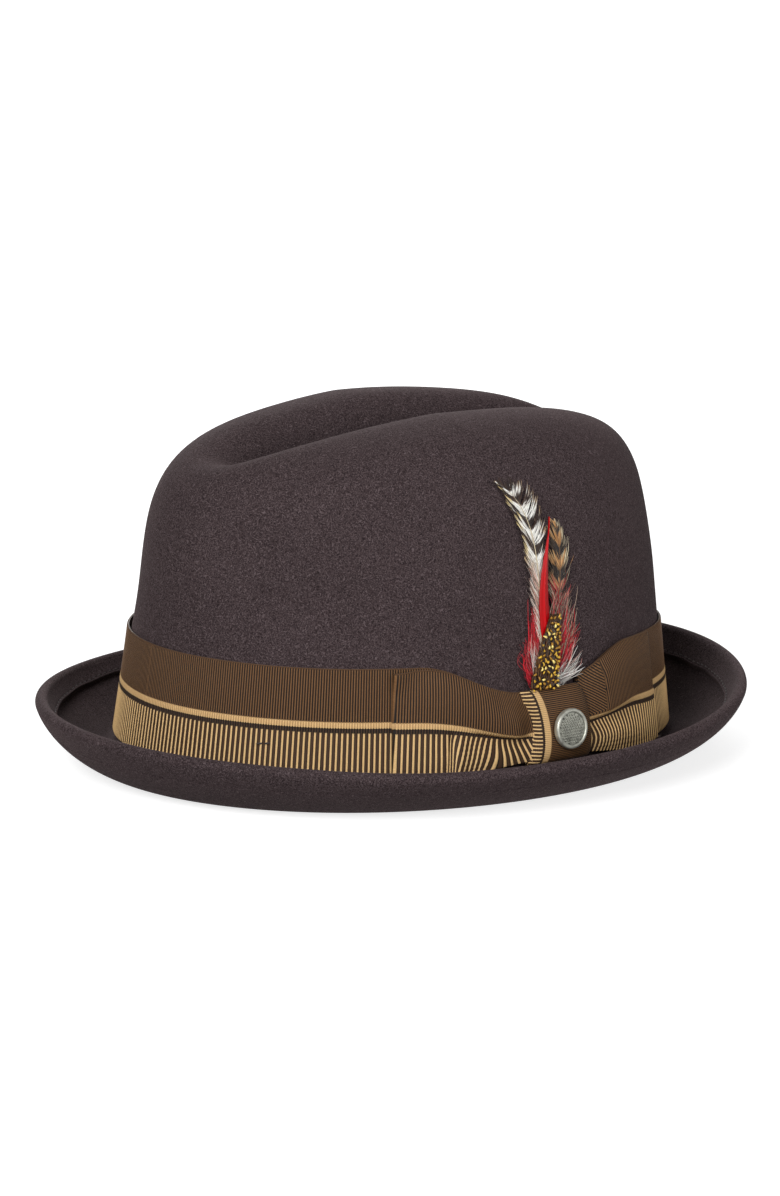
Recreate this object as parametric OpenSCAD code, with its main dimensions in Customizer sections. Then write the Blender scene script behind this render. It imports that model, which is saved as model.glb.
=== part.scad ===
// Fedora with a stingy upturned brim, striped grosgrain band, flat bow, pin and feather mount.
// Millimetres. +Z up, +X the wearer's left (bow side), +Y towards the back.
// The origin is under the middle of the hat, on the plane its brim rests on.

/* [Head opening] */

// Inside length of the leather, front to back
head_length = 202; // [196:1:208]
// Inside width of the leather
head_width = 162; // [156:1:168]
// Thickness of the felt
felt_t = 2.2; // [1.8:0.1:2.6]
// Thickness of the sweatband leather
leather_t = 1.2; // [0.8:0.1:1.4]

/* [Crown] */

// Height of the crown's highest ridge above the resting plane
crown_height = 125; // [118:1:132]
// How far the ridge falls per 100 mm towards the front
front_drop = 12; // [8:1:15]
// How far the ridge falls per 100 mm towards the back
back_drop = 8.5; // [5:0.5:11]
// Depth of the crease along the middle of the crown
dent_depth = 19; // [14:1:22]
// Half width of that crease
dent_width = 13; // [11:1:16]
// Depth of the two front pinches
pinch_depth = 6.5; // [4:0.5:8]

/* [Brim] */

// Reach of the brim at front and back
brim_ends = 27.5; // [25:0.5:30]
// Reach of the brim at the two sides
brim_sides = 32; // [29:0.5:34]
// Height of the rolled edge at the front
curl_front = 23; // [18:0.5:26]
// Height of the rolled edge at the sides
curl_sides = 20; // [17:0.5:24]
// Height of the rolled edge at the back
curl_back = 27.5; // [22:0.5:30]
// Radius of the folded edge
edge_r = 2.3; // [1.9:0.1:2.6]

/* [Ribbon and bow] */

// Width of the grosgrain ribbon
ribbon_width = 38; // [35:1:40]
// Thickness of the ribbon
ribbon_t = 0.8; // [0.5:0.1:1]
// Where the front wing is folded back on itself
front_fold_y = -49; // [-54:1:-44]
// Where the rear wing ends
rear_end_y = 66; // [60:1:70]
// Width of the knot
knot_width = 24.4; // [22:0.2:26]

/* [Pin and feathers] */

// Diameter of the round pin
pin_d = 14; // [12:0.5:15]
// Height of the tall feather's tip above the band's lower edge
tall_tip = 99.5; // [85:0.5:100]

/* [Hidden] */

// colours
FELT = [0.27, 0.225, 0.235];
FELT_THREAD = [0.2, 0.16, 0.17];
RIBBON = [0.34, 0.25, 0.18];
RIBBON_TAN = [0.6, 0.49, 0.36];
PEWTER = [0.45, 0.47, 0.45];
QUILL = [0.86, 0.82, 0.74];
BARRED = [0.78, 0.72, 0.64];
RED = [0.72, 0.08, 0.1];
GOLD = [0.62, 0.46, 0.14];
LEATHER = [0.3, 0.2, 0.14];
SATIN = [0.24, 0.2, 0.21];
LABEL = [0.82, 0.79, 0.72];

// hat block: values are [front, side, back]
ribbon_clear = 0.35;
leather_clear = 0.35;
half_w = head_width / 2 + leather_t + leather_clear + felt_t - 0.25;
half_l = head_length / 2 + leather_t + leather_clear + felt_t - 0.25;
squareness = [6, 5, 6.8];
lean = [0.155, 0.182, 0.1];
lean_top = [-0.1, 0, -0.035];
break_z = [9, 8, 4];
peak_y = 0;
shoulder = 0.93;
wall_share = 0.6;
dent_from = [-88, -43];
dent_to = [100, 60];
pinch_at = [-64, 67];
pinch_size = [25, 22];

// brim: the underside is a flat ring, then a curl up to the folded edge
reach = [brim_ends, brim_sides, brim_ends];
curl = [curl_front, curl_sides, curl_back];
curl_bias = [0.8, 0.68, 0.8];
curl_sweep = 75;
edge_angle = 68;
flat_e = 2.5;
fold_at = 0.71;

// grid steps
STEP = 360 / 80;
FINE = 360 / 90;
COARSE = 360 / 60;
// finer steps where the bow shapes the ribbon
BAND_STEPS = concat([for (p = [-32 : 2 : 40]) p], [for (p = [44 : 4 : 324]) p]);

// ribbon and bow positions on the left side
band_base = 1.8;
gather_h = 11.3;
lift_h = 3.2;
gather_front = [-40, -2];
gather_rear = [21, 54];
knot_y = 13;
stem_y = 9;
pocket_d = 2.8;
pocket_w = 9;
side_lean = atan(half_w * lean[1] / (crown_height - break_z[1]));
stem_turn = atan(tan(asin(stem_y / half_l)) * half_w / half_l);

// ---- shared shape functions ----

function ease(a, b, x) =
    let (t = min(1, max(0, (x - a) / (b - a))))
    t * t * (3 - 2 * t);

// value that blends from front to side to back around the hat
function around(p, v) =
    v[1] + (sin(p) < 0 ? v[0] - v[1] : v[2] - v[1]) * sin(p) * sin(p);

function steps(n) = [for (i = [0 : n - 1]) i / n];

function reverse(list) = [for (i = [len(list) - 1 : -1 : 0]) list[i]];

function bezier(c, t) =
    pow(1 - t, 3) * c[0] + 3 * t * pow(1 - t, 2) * c[1]
    + 3 * t * t * (1 - t) * c[2] + pow(t, 3) * c[3];

// how far the crown's top falls at y
function fall(y) =
    let (d = (peak_y - y) / 100)
    d > 0 ? front_drop * pow(d, 1.15) : back_drop * d * d;

// point of the crown at angle p, s = 0 at the band line to 1 at the middle of the top
function crown(p, s, inset) =
    let (
        n = around(p, squareness),
        edge = pow(1 - pow(shoulder, n), 1 / n),
        on_wall = s < wall_share,
        up = shoulder * s / wall_share,
        rho = on_wall ? pow(1 - pow(up, n), 1 / n) : edge * (1 - s) / (1 - wall_share),
        zeta = on_wall ? up : pow(1 - pow(rho, n), 1 / n),
        k = rho * (1 - around(p, lean) * zeta - around(p, lean_top) * pow(zeta, 3)),
        x = (half_w - inset) * cos(p) * k,
        y = (half_l - inset) * sin(p) * k,
        base = around(p, break_z),
        span = ease(dent_from[0], dent_from[1], y) * ease(dent_to[0], dent_to[1], y),
        dent = dent_depth * exp(-pow(x / dent_width, 2)) * span * pow(zeta, 4),
        z = base + (crown_height - inset - fall(y) - base) * zeta - dent,
        near = exp(-pow((y - pinch_at[0]) / pinch_size[0], 2) - pow((z - pinch_at[1]) / pinch_size[1], 2))
    )
    [x - sign(x) * pinch_depth * near * ease(0, 25, abs(x)), y, z];

// point on the lower crown wall, h above the band line and off outwards from the felt
function wall(p, h, off) =
    let (
        n = around(p, squareness),
        base = around(p, break_z),
        zeta = max(0, h / (crown_height - fall(0.96 * half_l * sin(p)) - base)),
        rho = pow(1 - pow(zeta, n), 1 / n),
        k = rho * (1 - around(p, lean) * zeta - around(p, lean_top) * pow(zeta, 3))
    )
    [(half_w * k + off) * cos(p), (half_l * k + off) * sin(p), base + h];

// the same on the left side, by the distance y from the middle
function left(y, h, off) = wall(asin(y / half_l), h, off);

// brim underside as [reach from the crown, height], a = 0 at the flat ring to 1 at the fold
function under(p, a) =
    let (
        e1 = around(p, reach) - edge_r + edge_r * sin(edge_angle),
        z1 = around(p, curl) - edge_r - edge_r * cos(edge_angle),
        g = (1 - cos(curl_sweep * a)) / (1 - cos(curl_sweep))
    )
    [
        flat_e + (e1 - flat_e) * sin(curl_sweep * a) / sin(curl_sweep),
        a <= 0 ? 0 : z1 * pow(g, around(p, curl_bias))
    ];

// brim upper side, t above the underside
function upper(p, a, t) =
    let (
        u = under(p, a),
        w = under(p, a + 0.01),
        d = w - u
    )
    u + t * [-d[1], d[0]] / norm(d);

function edge(p, turn) =
    [
        around(p, reach) - edge_r + edge_r * sin(edge_angle + turn),
        around(p, curl) - edge_r - edge_r * cos(edge_angle + turn)
    ];

// [reach, height] at angle p as a point in space
function brim(p, ez) = [(half_w + ez[0]) * cos(p), (half_l + ez[0]) * sin(p), ez[1]];

// ---- solids from rings of points ----

function quads(n, m, k_last, i) =
    [for (k = [0 : k_last])
        let (j = (i + 1) % n, l = (k + 1) % m)
        each [[i * m + k, j * m + k, j * m + l], [i * m + k, j * m + l, i * m + l]]];

// closed sections, joined round the hat or capped at both ends
module loft(rings, wrap) {
    n = len(rings);
    m = len(rings[0]);
    last = (n - 1) * m;
    sides = [for (i = [0 : wrap ? n - 1 : n - 2]) each quads(n, m, m - 1, i)];
    caps = wrap ? [] : [for (k = [0 : m / 2 - 2]) each [
        [k, k + 1, m - 2 - k], [k, m - 2 - k, m - 1 - k],
        [last + k + 1, last + k, last + m - 2 - k], [last + m - 2 - k, last + k, last + m - 1 - k]
    ]];
    polyhedron([for (r = rings) each r], concat(sides, caps), convexity = 12);
}

// open sections round the hat, closed by one point on the top and one inside it
module dome(rings, top, inside) {
    n = len(rings);
    m = len(rings[0]);
    sides = [for (i = [0 : n - 1]) each quads(n, m, m - 2, i)];
    ends = [for (i = [0 : n - 1])
        let (j = (i + 1) % n)
        each [[n * m, j * m, i * m], [n * m + 1, i * m + m - 1, j * m + m - 1]]];
    polyhedron(concat([for (r = rings) each r], [top, inside]), concat(sides, ends), convexity = 12);
}

// thin round cord along a closed line of points
module cord(path, r) {
    loft([for (c = path)
        let (out = [c[0], c[1], 0] / norm([c[0], c[1]]))
        [for (q = [90 : -60 : -210]) c + r * (cos(q) * out + [0, 0, sin(q)])]
    ], true);
}

// feather vane: spine control points are [y, height, stand-off],
// w = [front width, rear width, thickness], widest at the share peak of its length
module vane(spine, w, peak) {
    rows = 14;
    loft([for (i = [0 : rows])
        let (
            t = i / rows,
            c = bezier(spine, t),
            full = max(0.08, sin(180 * pow(min(t + 0.02, 0.99), ln(0.5) / ln(peak)))),
            t2 = max(0.25, 1 - 0.8 * t) * w[2] / 2
        )
        [
            left(c[0] - w[0] * full, c[1], c[2] + 0.1),
            left(c[0], c[1], c[2] + t2),
            left(c[0] + w[1] * full, c[1] + 0.3 * w[1] * full, c[2] + 0.1),
            left(c[0] + w[1] * full, c[1] + 0.3 * w[1] * full, c[2] - 0.1),
            left(c[0], c[1], c[2] - t2),
            left(c[0] - w[0] * full, c[1], c[2] - 0.1)
        ]
    ], false);
}

// puts its children on the left wall: +Z up the felt, +X straight out of it
module on_side(y, h, off, turn) {
    translate(left(y, h, off))
        rotate([0, -side_lean, turn])
            children();
}

// ---- the ribbon's path ----

function is_left(p) = cos(p) > 0 ? 1 : 0;

function gathered(y) =
    y < knot_y
        ? ease(gather_front[0], gather_front[1], y)
        : 1 - ease(gather_rear[0], gather_rear[1], y);

function ribbon_low(y) = band_base + lift_h * gathered(y);

function ribbon_high(y) = band_base + ribbon_width - gather_h * gathered(y);

function ribbon_h(y, v) = ribbon_low(y) + (ribbon_high(y) - ribbon_low(y)) * v;

function stand(y) = ribbon_clear + pocket_d * exp(-pow((y - stem_y) / pocket_w, 4));

// ---- felt ----

function felt_section(p) =
    let (
        foot = upper(p, 0.12, felt_t),
        base = around(p, break_z)
    )
    concat(
        [for (s = reverse(steps(22))) crown(p, s, 0)],
        [for (b = [22.5 : 22.5 : 67.5])
            brim(p, [foot[0] * (1 - cos(b)), foot[1] + (base - foot[1]) * (1 - sin(b))])],
        [for (a = [0.12 : 0.11 : 0.56]) brim(p, upper(p, a, felt_t))],
        [brim(p, upper(p, fold_at - 0.03, felt_t)), brim(p, upper(p, fold_at, 1.2 * felt_t))],
        [brim(p, upper(p, fold_at + 0.01, 2 * edge_r - 0.3))],
        [for (a = [fold_at + 0.04 : 0.12 : 0.9]) brim(p, upper(p, a, 2 * edge_r))],
        [for (q = [180 : -30 : 0]) brim(p, edge(p, q))],
        [for (a = [0.9 : -0.1 : 0]) brim(p, under(p, max(0, a)))],
        [brim(p, [1 - felt_t, 0]), brim(p, [-felt_t, 1])],
        [for (s = steps(16)) crown(p, s, felt_t)]
    );

module felt_body() {
    color(FELT)
        dome([for (p = [0 : STEP : 359]) felt_section(p)], crown(0, 1, 0), crown(0, 1, felt_t));
}

// lock stitch that holds the folded edge, on the inside of the brim
module brim_edge_stitching() {
    color(FELT_THREAD)
        cord([for (p = [0 : STEP : 359]) brim(p, upper(p, fold_at + 0.05, 2 * edge_r + 0.33))], 0.3);
}

// ---- hat band and bow ----

module hat_band() {
    color(RIBBON)
        loft([for (p = BAND_STEPS)
            let (
                y = half_l * sin(p),
                g = is_left(p) * gathered(y),
                low = band_base + lift_h * g,
                high = band_base + ribbon_width - gather_h * g,
                off = ribbon_clear + is_left(p) * (stand(y) - ribbon_clear)
            )
            concat(
                [for (v = [3 : -1 : 0]) wall(p, low + (high - low) * v / 3, off + ribbon_t)],
                [for (v = [0 : 3]) wall(p, low + (high - low) * v / 3, off)]
            )
        ], true);
}

// two short hand stitches that tack the ribbon to the felt
module band_tack_stitches() {
    color(FELT_THREAD) {
        on_side(-86, 13.5, 2, -38)
            cube([0.4, 3.4, 0.6], center = true);
        on_side(63, 3.2, 5, 26)
            cube([0.4, 1.6, 0.6], center = true);
    }
}

// folded ribbon: from the knot out along the back layer, round the fold, back along the front layer
module wing(fold_y, knot_side, tilt) {
    dir = sign(fold_y - knot_side);
    back = function (y) stand(y) + 1.5 * ribbon_t + 0.35;
    puff = function (y) 1.15 * ribbon_t + 1.3 * sin(180 * min(1, abs(y - fold_y) / abs(fold_y - knot_side)));
    path = concat(
        [for (t = [0 : 0.125 : 1])
            let (y = knot_side + (fold_y - knot_side) * t)
            [y, back(y)]],
        [for (q = [-45, 0, 45])
            [fold_y + dir * 0.5 * puff(fold_y) * cos(q), back(fold_y) + 0.5 * puff(fold_y) * (1 + sin(q))]],
        [for (t = [1 : -0.0625 : 0])
            let (y = knot_side + (fold_y - knot_side) * t)
            [y, back(y) + puff(y)]]
    );
    n = len(path);
    ring = function (i, side)
        let (
            d = path[min(n - 1, i + 1)] - path[max(0, i - 1)],
            c = path[i] - dir * side * 0.5 * ribbon_t * [-d[1], d[0]] / norm(d)
        )
        [for (v = [0.97 : -0.1875 : 0.03])
            left(c[0], ribbon_h(min(c[0], 54), v) + tilt * (c[0] - knot_side), c[1])];
    rings = [for (i = [0 : n - 1]) concat(ring(i, 1), reverse(ring(i, -1)))];
    loft(dir < 0 ? rings : reverse(rings), false);
}

module bow_wing_front() {
    color(RIBBON)
        wing(front_fold_y, 2.5, 0);
}

module bow_wing_rear() {
    color(RIBBON)
        wing(rear_end_y, 23, -0.03);
}

// the knot's strip goes over the gathered ribbon from behind its top edge to below it
module bow_knot() {
    mid = function (h) knot_y - 4 * pow(max(0, h - 14) / 15.5, 2) - 1.3 * pow(max(0, 14 - h) / 10, 2);
    half = function (h) knot_width / 2 - 0.9 * pow((h - 14) / 15, 2);
    line = [for (q = [80 : -10 : -90])
        let (
            c = max(0, cos(q)),
            h = 16.7 + 12.7 * sign(sin(q)) * pow(abs(sin(q)), 0.7)
        )
        [h, 1.3 + 5.8 * pow(c, 0.45)]];
    shift = function (i, side)
        let (
            a = line[min(len(line) - 1, i + 1)],
            b = line[max(0, i - 1)],
            d = a - b
        )
        line[i] + side * 0.5 * ribbon_t * [d[1], -d[0]] / norm(d);
    row = function (u, side)
        [for (i = [0 : len(line) - 1])
            let (c = shift(i, side))
            left(mid(c[0]) + half(c[0]) * u, c[0], c[1] - 0.5 * pow(u, 6))];
    color(RIBBON_TAN)
        loft([for (u = [-1 : 0.25 : 1]) concat(row(u, -1), reverse(row(u, 1)))], false);
}

// ---- pin ----

module pin_badge() {
    rim = 1.1;
    pitch = 1.2;
    color(PEWTER)
        on_side(knot_y, 15.5, 7.75, stem_turn + 2)
            rotate([0, 90, 0]) {
                difference() {
                    union() {
                        cylinder(d1 = pin_d, d2 = pin_d - 0.6, h = 2, $fn = 64);
                        translate([0, 0, -2.4])
                            cylinder(d = 1.1, h = 2.6, $fn = 24);
                    }
                    translate([0, 0, 1.3])
                        cylinder(d = pin_d - 2 * rim - 0.6, h = 2, $fn = 64);
                }
                for (i = [-5 : 5], j = [-5 : 5])
                    if (norm([i, j]) * pitch < pin_d / 2 - rim - 1)
                        translate([i * pitch, j * pitch, 1.25])
                            rotate(45)
                                cylinder(d1 = 1.3, d2 = 0.6, h = 0.45, $fn = 4);
            }
}

// grips the pin's post behind the knot's strip
module pin_clutch() {
    color(PEWTER)
        on_side(knot_y, 15.5, 7.75, stem_turn + 2)
            rotate([0, 90, 0])
                translate([0, 0, -2.5])
                    difference() {
                        cylinder(d = 5, h = 0.9, $fn = 40);
                        translate([0, 0, -1])
                            cylinder(d = 1.2, h = 3, $fn = 24);
                    }
}

// ---- feather mount: slides up out of the pocket behind the knot ----

module feather_barred_tall() {
    color(BARRED)
        vane([[8, 29.5, 2], [7, 62, 2], [8.5, tall_tip - 8, 2.8], [-4.3, tall_tip, 3.6]], [2, 9, 0.8], 0.72);
}

module feather_barred_short() {
    color(BARRED)
        vane([[10.5, 29.5, 1.1], [13, 50, 1], [21.5, 62, 1], [22.5, 83, 1.4]], [3.4, 3.4, 0.8], 0.6);
}

module feather_red() {
    color(RED)
        vane([[9, 31, 2.9], [8, 60, 3], [12, 70, 3.4], [17.2, 86.5, 4]], [1.6, 1.6, 0.8], 0.4);
}

module feather_hackle_front() {
    color(RED)
        vane([[5.5, 31, 2.9], [1.5, 38, 2.9], [2, 50, 3.1], [4.5, 60, 3.3]], [2.6, 2, 0.8], 0.4);
}

module feather_hackle_rear() {
    color(RED)
        vane([[12.5, 31, 2.2], [17, 38, 2.2], [21.5, 46, 2.2], [24.5, 55, 2.2]], [2.6, 1.6, 0.8], 0.5);
}

module feather_white_down() {
    color(QUILL)
        vane([[13.5, 31.6, 3.2], [17, 34, 3.2], [20, 36, 3.2], [24, 39.5, 3.2]], [2, 2, 0.8], 0.5);
}

// overlapping scales, so the body is lumpy all over
module feather_gold_plume() {
    axis_line = [[8.3, 31, 5], [9, 38, 5.1], [11.5, 46, 5.1], [13.8, 54, 4.6]];
    rows = 24;
    color(GOLD)
        loft([for (i = [0 : rows])
            let (
                t = i / rows,
                c = bezier(axis_line, t),
                w = 5.6 * pow(1 - t, 0.45) * (1 - 0.25 * t) + 0.4
            )
            [for (k = [0 : 11])
                let (
                    q = 180 - 30 * k + 0.001,
                    lump = 1 + 0.12 * (((i + floor(k / 2)) % 2) == 0 ? 1 : -1)
                )
                left(c[0] + w * lump * cos(q), c[1], c[2] + 1.25 * lump * sin(q) * pow(1 - 0.8 * t, 0.6))]
        ], false);
}

// bare quill ends, side by side down the pocket
module feather_quills() {
    color(QUILL)
        on_side(stem_y, 4.9, 1.65, stem_turn)
            for (y = [-1.4, 1.4])
                translate([0, y, 0])
                    cylinder(d = 1.1, h = 27, $fn = 20);
}

// tape wound round the quills
module feather_binding() {
    color(FELT_THREAD)
        on_side(stem_y, 7, 1.65, stem_turn)
            difference() {
                union() {
                    for (y = [-1.4, 1.4])
                        translate([0, y, 0])
                            cylinder(d = 1.9, h = 21, $fn = 28);
                    translate([-0.95, -1.4, 0])
                        cube([1.9, 2.8, 21]);
                }
                for (y = [-1.4, 1.4])
                    translate([0, y, -1])
                        cylinder(d = 1.2, h = 24, $fn = 20);
            }
}

// ---- inside the hat ----

leather_out = -felt_t - leather_clear;

// point at angle p and height z on a layer of leather that leans in towards its free top edge
function leather(p, z, inwards) =
    wall(p, z - around(p, break_z), leather_out - inwards - 1.3 * max(0, z - 11) / 23);

module sweatband() {
    color(LEATHER)
        loft([for (p = [0 : FINE : 359])
            concat(
                [for (z = [34, 22, 11, 2.6]) leather(p, z, 0)],
                [for (z = [2.6, 11, 22, 34]) leather(p, z, leather_t)]
            )
        ], true);
}

// plastic reed in the leather's lower edge
module sweatband_reed() {
    color(LEATHER)
        cord([for (p = [0 : COARSE : 359]) brim(p, [leather_out - 0.75, 1.55])], 0.75);
}

module sweatband_stitching() {
    color(FELT_THREAD)
        cord([for (p = [0 : COARSE : 359]) brim(p, [leather_out - leather_t - 0.45, 4.6])], 0.2);
}

// small flat bow over the leather's back seam
module sweatband_bow() {
    color(RIBBON)
        translate([0, half_l + leather_out - leather_t - 2.7, 13]) {
            for (s = [-1, 1])
                scale([s, 1, 1])
                    rotate([90, 0, 0])
                        linear_extrude(height = 1, center = true)
                            polygon([[1.2, -1.2], [9, -3.8], [9, 3.8], [1.2, 1.2]]);
            translate([0, -0.3, 0])
                cube([3.6, 1.8, 4.4], center = true);
        }
}

module lining_side() {
    color(SATIN)
        loft([for (p = [0 : COARSE : 359])
            concat(
                [for (s = [0.56 : -0.09 : 0.19]) crown(p, s, felt_t + 1.7)],
                [for (s = [0.2 : 0.09 : 0.57]) crown(p, s, felt_t + 2.1)]
            )
        ], true);
}

// oval panel across the inside of the crown's top
module lining_tip() {
    color(SATIN)
        dome([for (p = [0 : COARSE : 359])
            concat(
                [for (s = [0.93 : -0.09 : 0.57]) crown(p, s, felt_t + 1.7)],
                [for (s = [0.57 : 0.09 : 0.94]) crown(p, s, felt_t + 2.1)]
            )
        ], crown(0, 1, felt_t + 1.7), crown(0, 1, felt_t + 2.1));
}

// cord sewn into the seam between the side lining and the tip
module lining_piping() {
    color(SATIN)
        cord([for (p = [0 : COARSE : 359]) crown(p, 0.565, felt_t + 3)], 0.5);
}

// blank cloth size tab on the leather
module size_label() {
    color(LABEL)
        loft([for (q = [60 : 1.5 : 72])
            concat(
                [for (z = [27, 19]) leather(q, z, leather_t + 0.45)],
                [for (z = [19, 27]) leather(q, z, leather_t + 0.85)]
            )
        ], false);
}

felt_body();
brim_edge_stitching();
hat_band();
band_tack_stitches();
bow_wing_front();
bow_wing_rear();
bow_knot();
pin_badge();
pin_clutch();
feather_barred_tall();
feather_barred_short();
feather_red();
feather_hackle_front();
feather_hackle_rear();
feather_gold_plume();
feather_white_down();
feather_quills();
feather_binding();
sweatband();
sweatband_reed();
sweatband_stitching();
sweatband_bow();
lining_side();
lining_tip();
lining_piping();
size_label();
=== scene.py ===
import math

import bpy
import numpy as np
from mathutils import Matrix, Vector


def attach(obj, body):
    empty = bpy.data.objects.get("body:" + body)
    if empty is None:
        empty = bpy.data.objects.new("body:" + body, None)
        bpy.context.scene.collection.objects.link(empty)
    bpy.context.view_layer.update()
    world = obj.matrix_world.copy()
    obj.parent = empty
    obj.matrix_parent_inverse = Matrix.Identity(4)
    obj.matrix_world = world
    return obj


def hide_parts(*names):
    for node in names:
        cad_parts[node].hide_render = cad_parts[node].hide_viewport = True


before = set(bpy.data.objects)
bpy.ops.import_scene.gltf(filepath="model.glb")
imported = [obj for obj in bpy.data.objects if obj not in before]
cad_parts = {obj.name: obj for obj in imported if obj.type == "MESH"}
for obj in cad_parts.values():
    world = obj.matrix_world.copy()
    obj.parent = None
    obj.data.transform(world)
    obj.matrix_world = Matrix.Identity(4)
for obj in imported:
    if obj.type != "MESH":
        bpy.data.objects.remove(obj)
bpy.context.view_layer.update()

MM = 0.001
TAU = 2 * math.pi

# ---------------------------------------------------------------- the hat's shape, as in the CAD

FELT_T = 2.2
LEATHER_T = 1.2
HALF_W, HALF_L = 84.5, 104.5
CROWN_H, FRONT_DROP, BACK_DROP = 125.0, 12.0, 8.5
DENT_DEPTH, DENT_WIDTH = 19.0, 13.0
PINCH = 6.5
SQUARENESS = (6, 5, 6.8)
LEAN = (0.155, 0.182, 0.1)
LEAN_TOP = (-0.1, 0, -0.035)
BREAK_Z = (9, 8, 4)
SHOULDER = 0.93
REACH = (27.5, 32, 27.5)
CURL = (23, 20, 27.5)
CURL_BIAS = (0.8, 0.68, 0.8)
CURL_SWEEP = math.radians(75)
EDGE_ANGLE = math.radians(68)
EDGE_R = 2.3
FLAT_E = 2.5
FILLET_AT = 0.12                 # share of the brim's curve where the crown's fillet ends
FOLD_AT = 0.71                   # share where the folded edge ends
SEAM_STEP = 0.05                 # how far beyond that its stitches run
STITCHES = 196

RIBBON_W, RIBBON_T = 38.0, 0.8
RIBBON_CLEAR = 0.35
BAND_BASE = 1.8
GATHER_H, LIFT_H = 11.3, 3.2
KNOT_Y = 13.0
STEM_Y, POCKET_D, POCKET_W = 9.0, 2.8, 9.0
RIB = 0.915                      # pitch of the ribbon's ribs
RIB_ROOT = 0.18                  # how deep their valleys lie below the ribbon's face
TAN_TOP, TAN_LOW, DARK_LOW = 18.0, 20.0, 21.7   # stripes, measured down from the top edge


def ease(a, b, x):
    """0 up to a, 1 from b on, smooth between; with a > b it falls."""
    t = np.clip((x - a) / (b - a), 0, 1)
    return t * t * (3 - 2 * t)


def bump(v, at, wide):
    return np.exp(-(((v - at) / wide) ** 2))


def unit(v):
    return v / np.maximum(np.linalg.norm(v, axis=-1, keepdims=True), 1e-9)


def around(p, v):
    """A value that blends from front to side to back round the hat."""
    s = np.sin(p)
    return v[1] + np.where(s < 0, v[0] - v[1], v[2] - v[1]) * s * s


def waves(seed, count, low, high):
    """Smooth repeatable noise made of sines, as a function of points (..., 3) in mm."""
    rng = np.random.default_rng(seed)
    k = rng.normal(size=(count, 3))
    k *= (TAU / rng.uniform(low, high, count) / np.linalg.norm(k, axis=1))[:, None]
    ph = rng.uniform(0, TAU, count)

    def value(pts):
        out = 0
        for a, b in zip(k, ph):
            out = out + np.sin(pts @ a + b)
        return out / math.sqrt(count)

    return value


def fall(y):
    d = -y / 100
    return np.where(d > 0, FRONT_DROP * np.abs(d) ** 1.15, BACK_DROP * d * d)


felt_waves = waves(3, 14, 34, 80)
fold_waves = waves(21, 12, 9, 22)


def crown(p, zeta, rho, inset):
    """Crown point: zeta is the share of the height, rho the share of the radius."""
    k = rho * (1 - around(p, LEAN) * zeta - around(p, LEAN_TOP) * zeta**3)
    x = (HALF_W - inset) * np.cos(p) * k
    y = (HALF_L - inset) * np.sin(p) * k
    base = around(p, BREAK_Z)
    span = ease(-88, -43, y) * ease(100, 60, y)
    dent = DENT_DEPTH * bump(x, 0, DENT_WIDTH) * span * zeta**4
    z = base + (CROWN_H - inset - fall(y) - base) * zeta - dent
    near = np.exp(-(((y + 64) / 25) ** 2) - ((z - 67) / 22) ** 2)
    x = x - np.sign(x) * PINCH * near * ease(0, 25, np.abs(x))
    pts = np.stack([x, y, z], -1)
    soft = 0.35 * felt_waves(pts) * ease(48, 75, z)
    pts[..., 0] += soft * np.cos(p) * ease(1, 0.75, zeta)
    pts[..., 1] += soft * np.sin(p) * ease(1, 0.75, zeta)
    pts[..., 2] += soft * ease(0.8, 1, zeta)
    return pts


def crown_row(p, s, inset):
    """s = 0 at the band line, 1 at the middle of the top."""
    n = around(p, SQUARENESS)
    share = 0.6
    edge = (1 - SHOULDER**n) ** (1 / n)
    up = SHOULDER * np.minimum(s / share, 1)
    rho_wall = (1 - up**n) ** (1 / n)
    rho_top = edge * (1 - s) / (1 - share)
    on_wall = s < share
    rho = np.where(on_wall, rho_wall, rho_top)
    zeta = np.where(on_wall, up, (1 - np.clip(rho_top, 0, 1) ** n) ** (1 / n))
    return crown(p, zeta, rho, inset)


def crown_top(inset):
    return crown_row(np.array(0.0), np.array(1.0), inset)


def wall(p, h, off):
    """Point on the lower crown wall, h above the band line, off outwards from the felt."""
    p, h = np.asarray(p, float), np.asarray(h, float)
    n = around(p, SQUARENESS)
    base = around(p, BREAK_Z)
    zeta = np.clip(h / (CROWN_H - fall(0.96 * HALF_L * np.sin(p)) - base), 0, 0.999)
    k = (1 - zeta**n) ** (1 / n) * (1 - around(p, LEAN) * zeta - around(p, LEAN_TOP) * zeta**3)
    return np.stack([(HALF_W * k + off) * np.cos(p), (HALF_L * k + off) * np.sin(p), base + h + 0 * k], -1)


def left(y, h, off):
    return wall(np.arcsin(np.asarray(y, float) / HALF_L), h, off)


def gathered(y):
    return np.where(y < KNOT_Y, ease(-40, -2, y), 1 - ease(21, 54, y))


def stand(y):
    return RIBBON_CLEAR + POCKET_D * np.exp(-(((y - STEM_Y) / POCKET_W) ** 4))


def under(p, a):
    """The brim's underside at share a of its curve: how far out from the crown, and how high."""
    e1 = around(p, REACH) - EDGE_R + EDGE_R * math.sin(EDGE_ANGLE)
    z1 = around(p, CURL) - EDGE_R - EDGE_R * math.cos(EDGE_ANGLE)
    g = (1 - np.cos(CURL_SWEEP * a)) / (1 - math.cos(CURL_SWEEP))
    e = FLAT_E + (e1 - FLAT_E) * np.sin(CURL_SWEEP * a) / math.sin(CURL_SWEEP)
    return e, z1 * np.clip(g, 0, 2) ** around(p, CURL_BIAS)


def upper(p, a, t):
    """The same, t above the underside."""
    e, z = under(p, a)
    e2, z2 = under(p, a + 0.01)
    de, dz = e2 - e, z2 - z
    d = np.sqrt(de * de + dz * dz)
    return e - t * dz / d, z + t * de / d


def brim(p, e, z):
    return np.stack([(HALF_W + e) * np.cos(p), (HALF_L + e) * np.sin(p), z + 0 * p], -1)


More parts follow.
